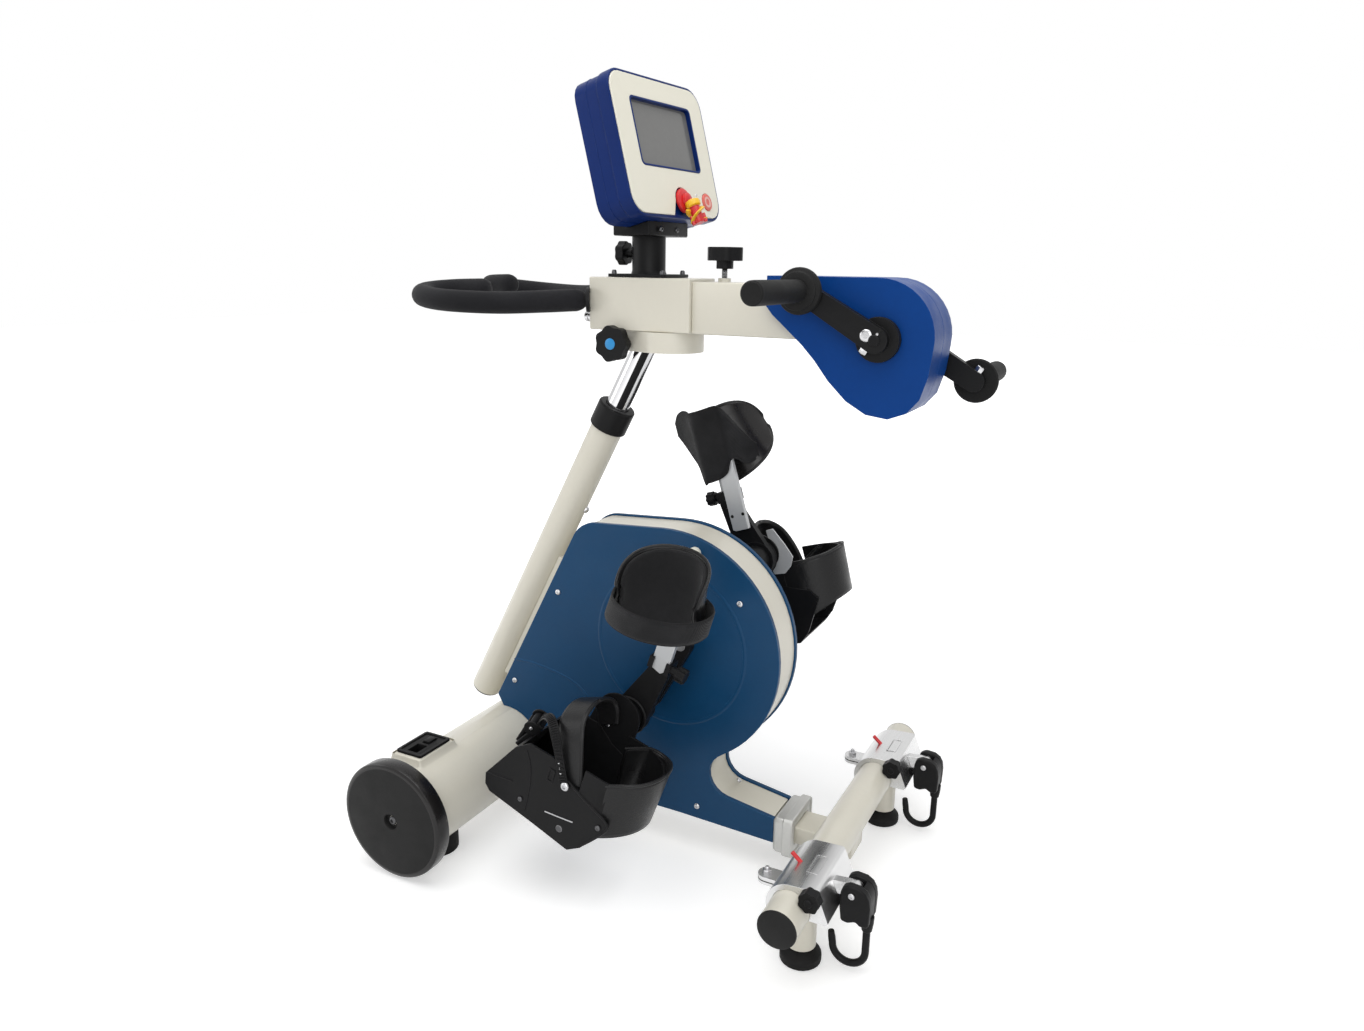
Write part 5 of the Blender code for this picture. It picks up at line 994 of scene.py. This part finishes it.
def make_shoe(side, body, foot, s, out):
    wall = WALL_Y * s
    dress(f"foot_shell_{side}", bevel=0.0024, segments=3)
    for name, (x, z, radius, lift, finish, recess) in SHOE_SCREWS.items():
        screw(f"{name}_{side}", spot(foot, x, wall + lift * s, z), out, radius, body, finish=finish, recess=recess)
    for name, (radius, sides, steps, finish, inset, points) in WALL_LINES.items():
        line = curve_points([spot(foot, x, wall - inset * s, z) for x, z in points], steps)
        sweep(f"{name}_{side}", line, circle(radius, sides), finish, body, up=out)
    lathe(f"foot_disc_{side}", [(0.0, 0.0008), (0.0050, 0.0008), (0.0060, 0.0)], spot(foot, 0.007, wall, -0.141), out,
          "dark_steel", body, sides=24)
    rivet(f"lobe_rivet_{side}", spot(foot, *LOBE_RIVET[side]), out if side == "left" else -out, 0.0035, 0.0048, 0.0016,
          body, sides=20)
    ring_panel(f"wall_window_{side}", rounded((0.006, 0.012), 0.002, 3, WINDOW),
               rounded((0.0035, 0.0095), 0.001, 3, WINDOW), *sorted((wall - 0.0005 * s, wall + 0.0012 * s)), "Y", foot,
               "black_plastic", body, bevel=0.0004)


def make_heel_band(side, body, foot, s, out):
    lows, highs = [], []
    for k in range(25):
        angle = math.radians(-90 + 180 * k / 24)
        swell = math.cos(angle)
        radius = HEEL_R + HEEL_SWELL * swell ** 0.5 if swell > 0 else HEEL_R
        x, y = HEEL_X + radius * swell, SHOE_Y * s + radius * math.sin(angle)
        wave = 0.0035 * math.sin(angle * 5.0 + 0.8) * (1 - swell)
        lows.append(spot(foot, x - 0.004 * (1 - swell), y, -0.1360 + 0.036 * max(swell, 0.0) ** 0.7))
        highs.append(spot(foot, x + 0.004 * swell, y, -0.0280 + HEEL_RISE[side] * swell + wave))
    for edge, x, z in ((lows, 0.030, -0.1500), (highs, 0.022, -0.0440)):
        edge.insert(0, spot(foot, x, SHOE_Y * s - SHOE_HALF, z))
        edge.append(spot(foot, x, SHOE_Y * s + SHOE_HALF, z))
    ribbon(f"heel_band_{side}", lows, highs, 0.0040, "leather", body, steps=2, across=8, subdivide=1)
    sweep(f"heel_welt_{side}", curve_points(highs, 2), circle(0.0026, 10), "leather", body, up=out)


def make_ladder_strap(side, body, foot, s, out):
    line = curve_points([spot(foot, x, y * s, z) for x, y, z in LADDER], 6)
    back = aim(foot, 0.35, 0, -0.94)
    ups = [(out * (1.2 if k < 14 else 0.5) - back).normalized() for k in range(len(line))]
    sweep(f"ladder_strap_{side}", line, band(0.0150, 0.0028), "black_plastic", body, up=ups, bevel=0.0004)
    for k in range(3, len(line) - 4):
        along = (line[k + 1] - line[k - 1]).normalized()
        across = along.cross(ups[k]).normalized()
        up = across.cross(along).normalized()
        place = Matrix.Translation(line[k] + up * 0.0014) @ axes(across, along, up)
        box_piece(f"ladder_tooth_{side}_{k}", (-0.0050, -0.0009, -0.0004), (0.0050, 0.0011, 0.0013), place,
                  "black_plastic", body, bevel=0.0003)
    for k, t in enumerate((0.009, 0.016, 0.023)):
        rivet(f"ladder_rivet_{side}_{k}", spot(foot, -0.010 - t * 0.55, 0.2905 * s, -0.052 + t), out, 0.0014, 0.0018,
              0.0014, body)


def make_instep_pad(side, body, foot, s, out):
    lean_x, lean_z = INSTEP_LEAN
    lows = [spot(foot, x - lean_x * w / 2, y * s, z - 0.006 + lean_z * w * 0.1) for x, y, z, w in INSTEP]
    highs = [spot(foot, x + lean_x * w / 2, y * s, z + 0.004 + lean_z * w * 0.35) for x, y, z, w in INSTEP]
    pad = ribbon(f"instep_pad_{side}", lows, highs, 0.0065, "leather", body, steps=4, across=8, subdivide=1)[0]
    for name, line in (("a", highs), ("b", lows)):
        sweep(f"instep_welt_{name}_{side}", curve_points(line, 4), circle(0.0030, 10), "leather", body, up=out)


def make_buckle(side, body, foot, s):
    buckle = foot @ move(-0.112, 0.2280 * s, -0.052) @ turn(-62.0, "Y") @ turn(-16.0 * s, "X") @ Matrix.Scale(1.35, 4)
    box_piece(f"buckle_base_{side}", (-0.0240, -0.0125, -0.0045), (0.0240, 0.0125, 0.0045), buckle, "black_plastic",
              body, bevel=0.0022, segments=3)
    box_piece(f"buckle_lever_{side}", (-0.0200, -0.0095, 0.0060), (0.0120, 0.0095, 0.0110), buckle @ turn(-12, "Y"),
              "black_plastic", body, bevel=0.0020, segments=3)
    lathe(f"buckle_roller_{side}", [(0.0, -0.0140), (0.0070, -0.0140), (0.0070, 0.0140), (0.0, 0.0140)],
          spot(buckle, 0.0130, 0, 0.0060), aim(buckle, 0, 1, 0), "black_plastic", body, sides=24, bevel=0.0015)
    for k, way in enumerate((-1, 1)):
        y = 0.0145 * way
        rivet(f"buckle_pin_{side}_{k}", spot(buckle, 0.0130, y, 0.0060), aim(buckle, 0, way, 0), 0.0024, 0.0030,
              0.0014, body, sides=16, sink=0.001)
        panel(f"buckle_ear_{side}_{k}", around((0.0, 0.002), 0.0105, steps=24), *sorted((y * 0.90, y * 0.74)), "Y",
              buckle @ move(0.0120, 0, 0.0020), "black_plastic", body, bevel=0.0010)


# Calf brackets, bars and cups

BAR_WAY = {"left": 1, "right": -1}  # the near bar stands behind its pin, the far one before it
BAR_X = 0.027
KNOB_LOBES, KNOB_R, KNOB_DEPTH = 8, 0.0118, 0.0014
CUPS = {"left": (0.019, 0.2116, 0.255), "right": (-0.019, 0.2116, 0.207)}
CUP_TILT = {"left": -12.0, "right": -20.0}
CUP_REACH = {"left": 101.0, "right": 80.0}
CUP_FINISH = {"left": "leather", "right": "gloss_black"}
CUP_R, CUP_FLARE = 0.0655, 0.05
EGG_POWER, END_SHARE = 2.2, 0.99  # the outline's roundness, and the share of it that is kept at the ends
BAR_OUTLINE = ((-0.0240, 0.0600), (-0.0190, 0.0575), (0.0060, 0.0585), (0.0060, 0.2450), (-0.0240, 0.2450))
ANKLE_OUTLINE = ((0.0200, 0.0440), (0.0330, 0.0450), (0.0480, 0.0150), (0.0580, -0.0100), (0.0500, -0.0260),
                 (0.0360, -0.0370), (0.0160, -0.0360))
# The near strap goes round the cup by angle and radius; the far one is laid by x, y, low z and high z
STRAP_LEFT = ((64, 0.0690), (44, 0.0730), (24, 0.0790), (4, 0.0840), (-20, 0.0840), (-44, 0.0800), (-68, 0.0745),
              (-92, 0.0710), (-116, 0.0700), (-140, 0.0705), (-165, 0.0700), (-188, 0.0695), (-212, 0.0690),
              (-236, 0.0690))
STRAP_LEFT_TALL = 0.0340
STRAP_RIGHT = ((0.036, 0.1580, 0.176, 0.196), (0.030, 0.1540, 0.170, 0.204), (0.018, 0.1380, 0.168, 0.232),
               (0.010, 0.1170, 0.182, 0.262), (0.004, 0.1056, 0.180, 0.275), (-0.006, 0.1050, 0.162, 0.277),
               (-0.020, 0.1050, 0.154, 0.276), (-0.036, 0.1052, 0.151, 0.275), (-0.048, 0.1065, 0.150, 0.275),
               (-0.056, 0.1120, 0.149, 0.275), (-0.066, 0.1240, 0.180, 0.279), (-0.082, 0.1390, 0.200, 0.281),
               (-0.100, 0.1530, 0.224, 0.276), (-0.113, 0.1620, 0.240, 0.262))


def make_bracket(side, foot, s, out):
    body, way = f"calf_bracket_{side}", BAR_WAY[side]
    dress(f"calf_bracket_{side}", bevel=0.0016, segments=3)
    angles = [2 * math.pi * k / 48 for k in range(48)]
    radii = [KNOB_R + KNOB_DEPTH * math.cos(KNOB_LOBES * a) for a in angles]
    lobes = [(r * math.cos(a), r * math.sin(a)) for r, a in zip(radii, angles)]
    place = Matrix.Translation(spot(foot, (BAR_X + 0.031) * way, 0.1393 * s, 0.118))
    panel(f"bar_knob_{side}", lobes, 0.0, 0.0150, "Z", place @ frame_on(aim(foot, way, 0, 0)), "black_plastic", body,
          bevel=0.0016, segments=3)
    lathe(f"bracket_rim_{side}", [(0.0275, 0.0), (0.0325, 0.0), (0.0330, 0.0022), (0.0315, 0.0036), (0.0285, 0.0036),
                                  (0.0272, 0.0022)], spot(foot, 0, 0.1330 * s, 0), out, "black_plastic", body,
          sides=48, closed=True)


def cup_frame(side):
    x, y, z = CUPS[side]
    return foot_frame(side) @ move(x, y * sign(side), z) @ turn(CUP_TILT[side], "Y")


def cup_sheet(name, side, radius, reach, tall, finish, thick, body, **options):
    """A calf cup's wall: part of a cylinder, open away from the bar, with an egg-shaped outline."""
    base = cup_frame(side)
    middle = -90.0 * sign(side)
    form = bmesh.new()
    rows = []
    count, high = 30, 14
    for i in range(count + 1):
        t = math.sin((-1 + 2 * i / count) * math.pi / 2)
        half = tall * (1 - (END_SHARE * abs(t)) ** EGG_POWER) ** (1 / EGG_POWER)
        angle = math.radians(middle + t * reach)
        row = []
        for k in range(high + 1):
            out = radius * (1 + CUP_FLARE * abs(t) * abs(2 * k / high - 1) ** 3)
            place = spot(base, out * math.cos(angle), out * math.sin(angle), -half + 2 * half * k / high)
            row.append(form.verts.new(place))
        rows.append(row)
    for first, second in zip(rows, rows[1:]):
        join_rows(form, second, first, closed=False)
    loop = rows[0] + [row[-1] for row in rows[1:]] + rows[-1][-2::-1] + [row[0] for row in reversed(rows[1:-1])]
    edge = [v.co.copy() for v in loop]
    piece = finish_piece(name, form, finish, body, subdivide=1, **options)
    thicken(piece, thick)
    return piece, edge


def make_calf(side, foot, s, out):
    body, (x, _, z) = f"calf_{side}", CUPS[side]
    dress(f"calf_bar_{side}", "bar_silver", bevel=0.0007)
    edge = cup_sheet(f"calf_cup_{side}", side, CUP_R, CUP_REACH[side], 0.0650, CUP_FINISH[side], 0.0040, body,
                     replaces=(f"calf_shell_{side}",))[1]
    lining = cup_sheet(f"calf_lining_{side}", side, 0.0600, CUP_REACH[side] - 4.0, 0.0610, "webbing_plain", 0.0060,
                       body)[0]
    sweep(f"cup_piping_{side}", edge, circle(0.0025, 10), "leather", body, up=out, closed_line=True)
    inner, outer = sorted((0.1450 * s, 0.1505 * s))
    box_piece(f"cup_pad_{side}", (x - 0.018, inner, z - 0.027), (x + 0.018, outer, z + 0.027), foot, "black_plastic",
              body, bevel=0.001)
    for k, height in enumerate((-0.012, 0.012)):
        screw(f"cup_screw_{side}_{k}", spot(foot, BAR_X * BAR_WAY[side], 0.1342 * s, z + height), -out, 0.0045, body)
    if side == "left":
        strap_left(foot, body)
    else:
        make_far_bar(foot, out, body)
        strap_right(foot, out, body)


def make_far_bar(foot, out, body):
    """The far leg's bar on the inner side, the block between it and the cup, and the plate at the ankle."""
    panel("calf_bar_front_right", BAR_OUTLINE, 0.1075, 0.1172, "Y", foot, "bar_silver", body, bevel=0.0008)
    box_piece("cup_spacer_right", (-0.0210, 0.1173, 0.1700), (0.0030, 0.1455, 0.2400), foot, "black_plastic", body,
              bevel=0.0015)
    # Painted shade: flat black discs on the bar stand in for the dark inside of its two holes.
    for k, (x, z) in enumerate(((-0.0190, 0.084), (0.0020, 0.0855))):
        lathe(f"bar_hole_shade_{k}", [(0.0, 0.0005), (0.0022, 0.0005), (0.0029, 0.0003), (0.0031, -0.0004)],
              spot(foot, x, 0.1075, z), -out, "black_rubber", body, sides=20)
    bore = around((0.004, 0.005), 0.0300, -75, 57, 12)
    panel("ankle_plate_right", [*ANKLE_OUTLINE, *bore], 0.1440, 0.1470, "Y", foot, "bar_silver", "foot_right",
          bevel=0.0006)


def bind_edges(name, lows, highs, steps, section, body, up):
    """A sewn binding along both edges of a strap."""
    for edge, line in (("low", lows), ("high", highs)):
        sweep(f"{name}_{edge}_binding", curve_points(line, steps), section, "webbing_plain", body, up=up)


def strap_left(foot, body):
    """The near cup's strap: it leaves the cup's back at one end, crosses its open side and comes back."""
    cup_x, cup_y, _ = CUPS["left"]
    lows, highs = [], []
    for angle, radius in STRAP_LEFT:
        a = math.radians(angle)
        low = 0.2270 + 0.15 * (cup_x + radius * math.cos(a) - 0.03) - 0.004 * max(0.0, -math.sin(a))
        for edge, z, reach in ((lows, low, radius), (highs, low + STRAP_LEFT_TALL, radius - 0.0012)):
            edge.append(spot(foot, cup_x + reach * math.cos(a), -cup_y + reach * math.sin(a), z))
    strap, flat, area = ribbon("calf_strap_left", lows, highs, 0.0024, "webbing", body)
    bind_edges("calf_strap_left", lows, highs, 5, oval(0.0011, 0.0019, 8), body, Z)


def strap_right(foot, out, body):
    """The far cup's wide strap: sewn to the cup, laid over the bar, and folded back on its other side."""
    lows = [spot(foot, x, y, low) for x, y, low, high in STRAP_RIGHT]
    highs = [spot(foot, x, y, high) for x, y, low, high in STRAP_RIGHT]
    strap, flat, area = ribbon("calf_strap_right", lows, highs, 0.0022, "webbing", body, steps=4, across=8)
    bind_edges("calf_strap_right", lows, highs, 4, oval(0.0012, 0.0018, 8), body, out)
    cup = cup_frame("right")
    ways = around((0, 0), 1.0, -86, -50, 9)
    for k, height in enumerate((-0.041, 0.040)):
        seam = [(spot(cup, 0.0685 * a, 0.0685 * b, height), aim(cup, a, b, 0)) for a, b in ways]
        stitches(f"cup_stitches_{k}", seam, body)


def stitches(name, line, body, gap=0.0042):
    """A row of short raised threads along a line; its points carry their own up direction."""
    form = bmesh.new()
    for (start, up), (end, _) in zip(line, line[1:]):
        count = max(1, int((end - start).length / gap))
        along = (end - start).normalized()
        side = along.cross(up).normalized()
        for k in range(count):
            place = Matrix.Translation(start.lerp(end, (k + 0.5) / count) + up * 0.0004) @ axes(side, along, up)
            bmesh.ops.create_uvsphere(form, u_segments=8, v_segments=5, radius=1.0,
                                      matrix=place @ Matrix.Diagonal((0.00045, 0.0014, 0.00035, 1)))
    return finish_piece(name, form, "webbing_plain", body, sharp=180.0)


make_camera()
make_stage()
make_lamps()
make_console()
make_head()
make_handles()
make_arm()
make_casing()
make_rear()
make_front()
for side in SIDES:
    make_foot(side)
for node in sorted(NODES):
    if not NODES[node].hide_render:
        dress(node, bevel=0.0006)


# View settings

bpy.context.scene.view_settings.view_transform = "Standard"
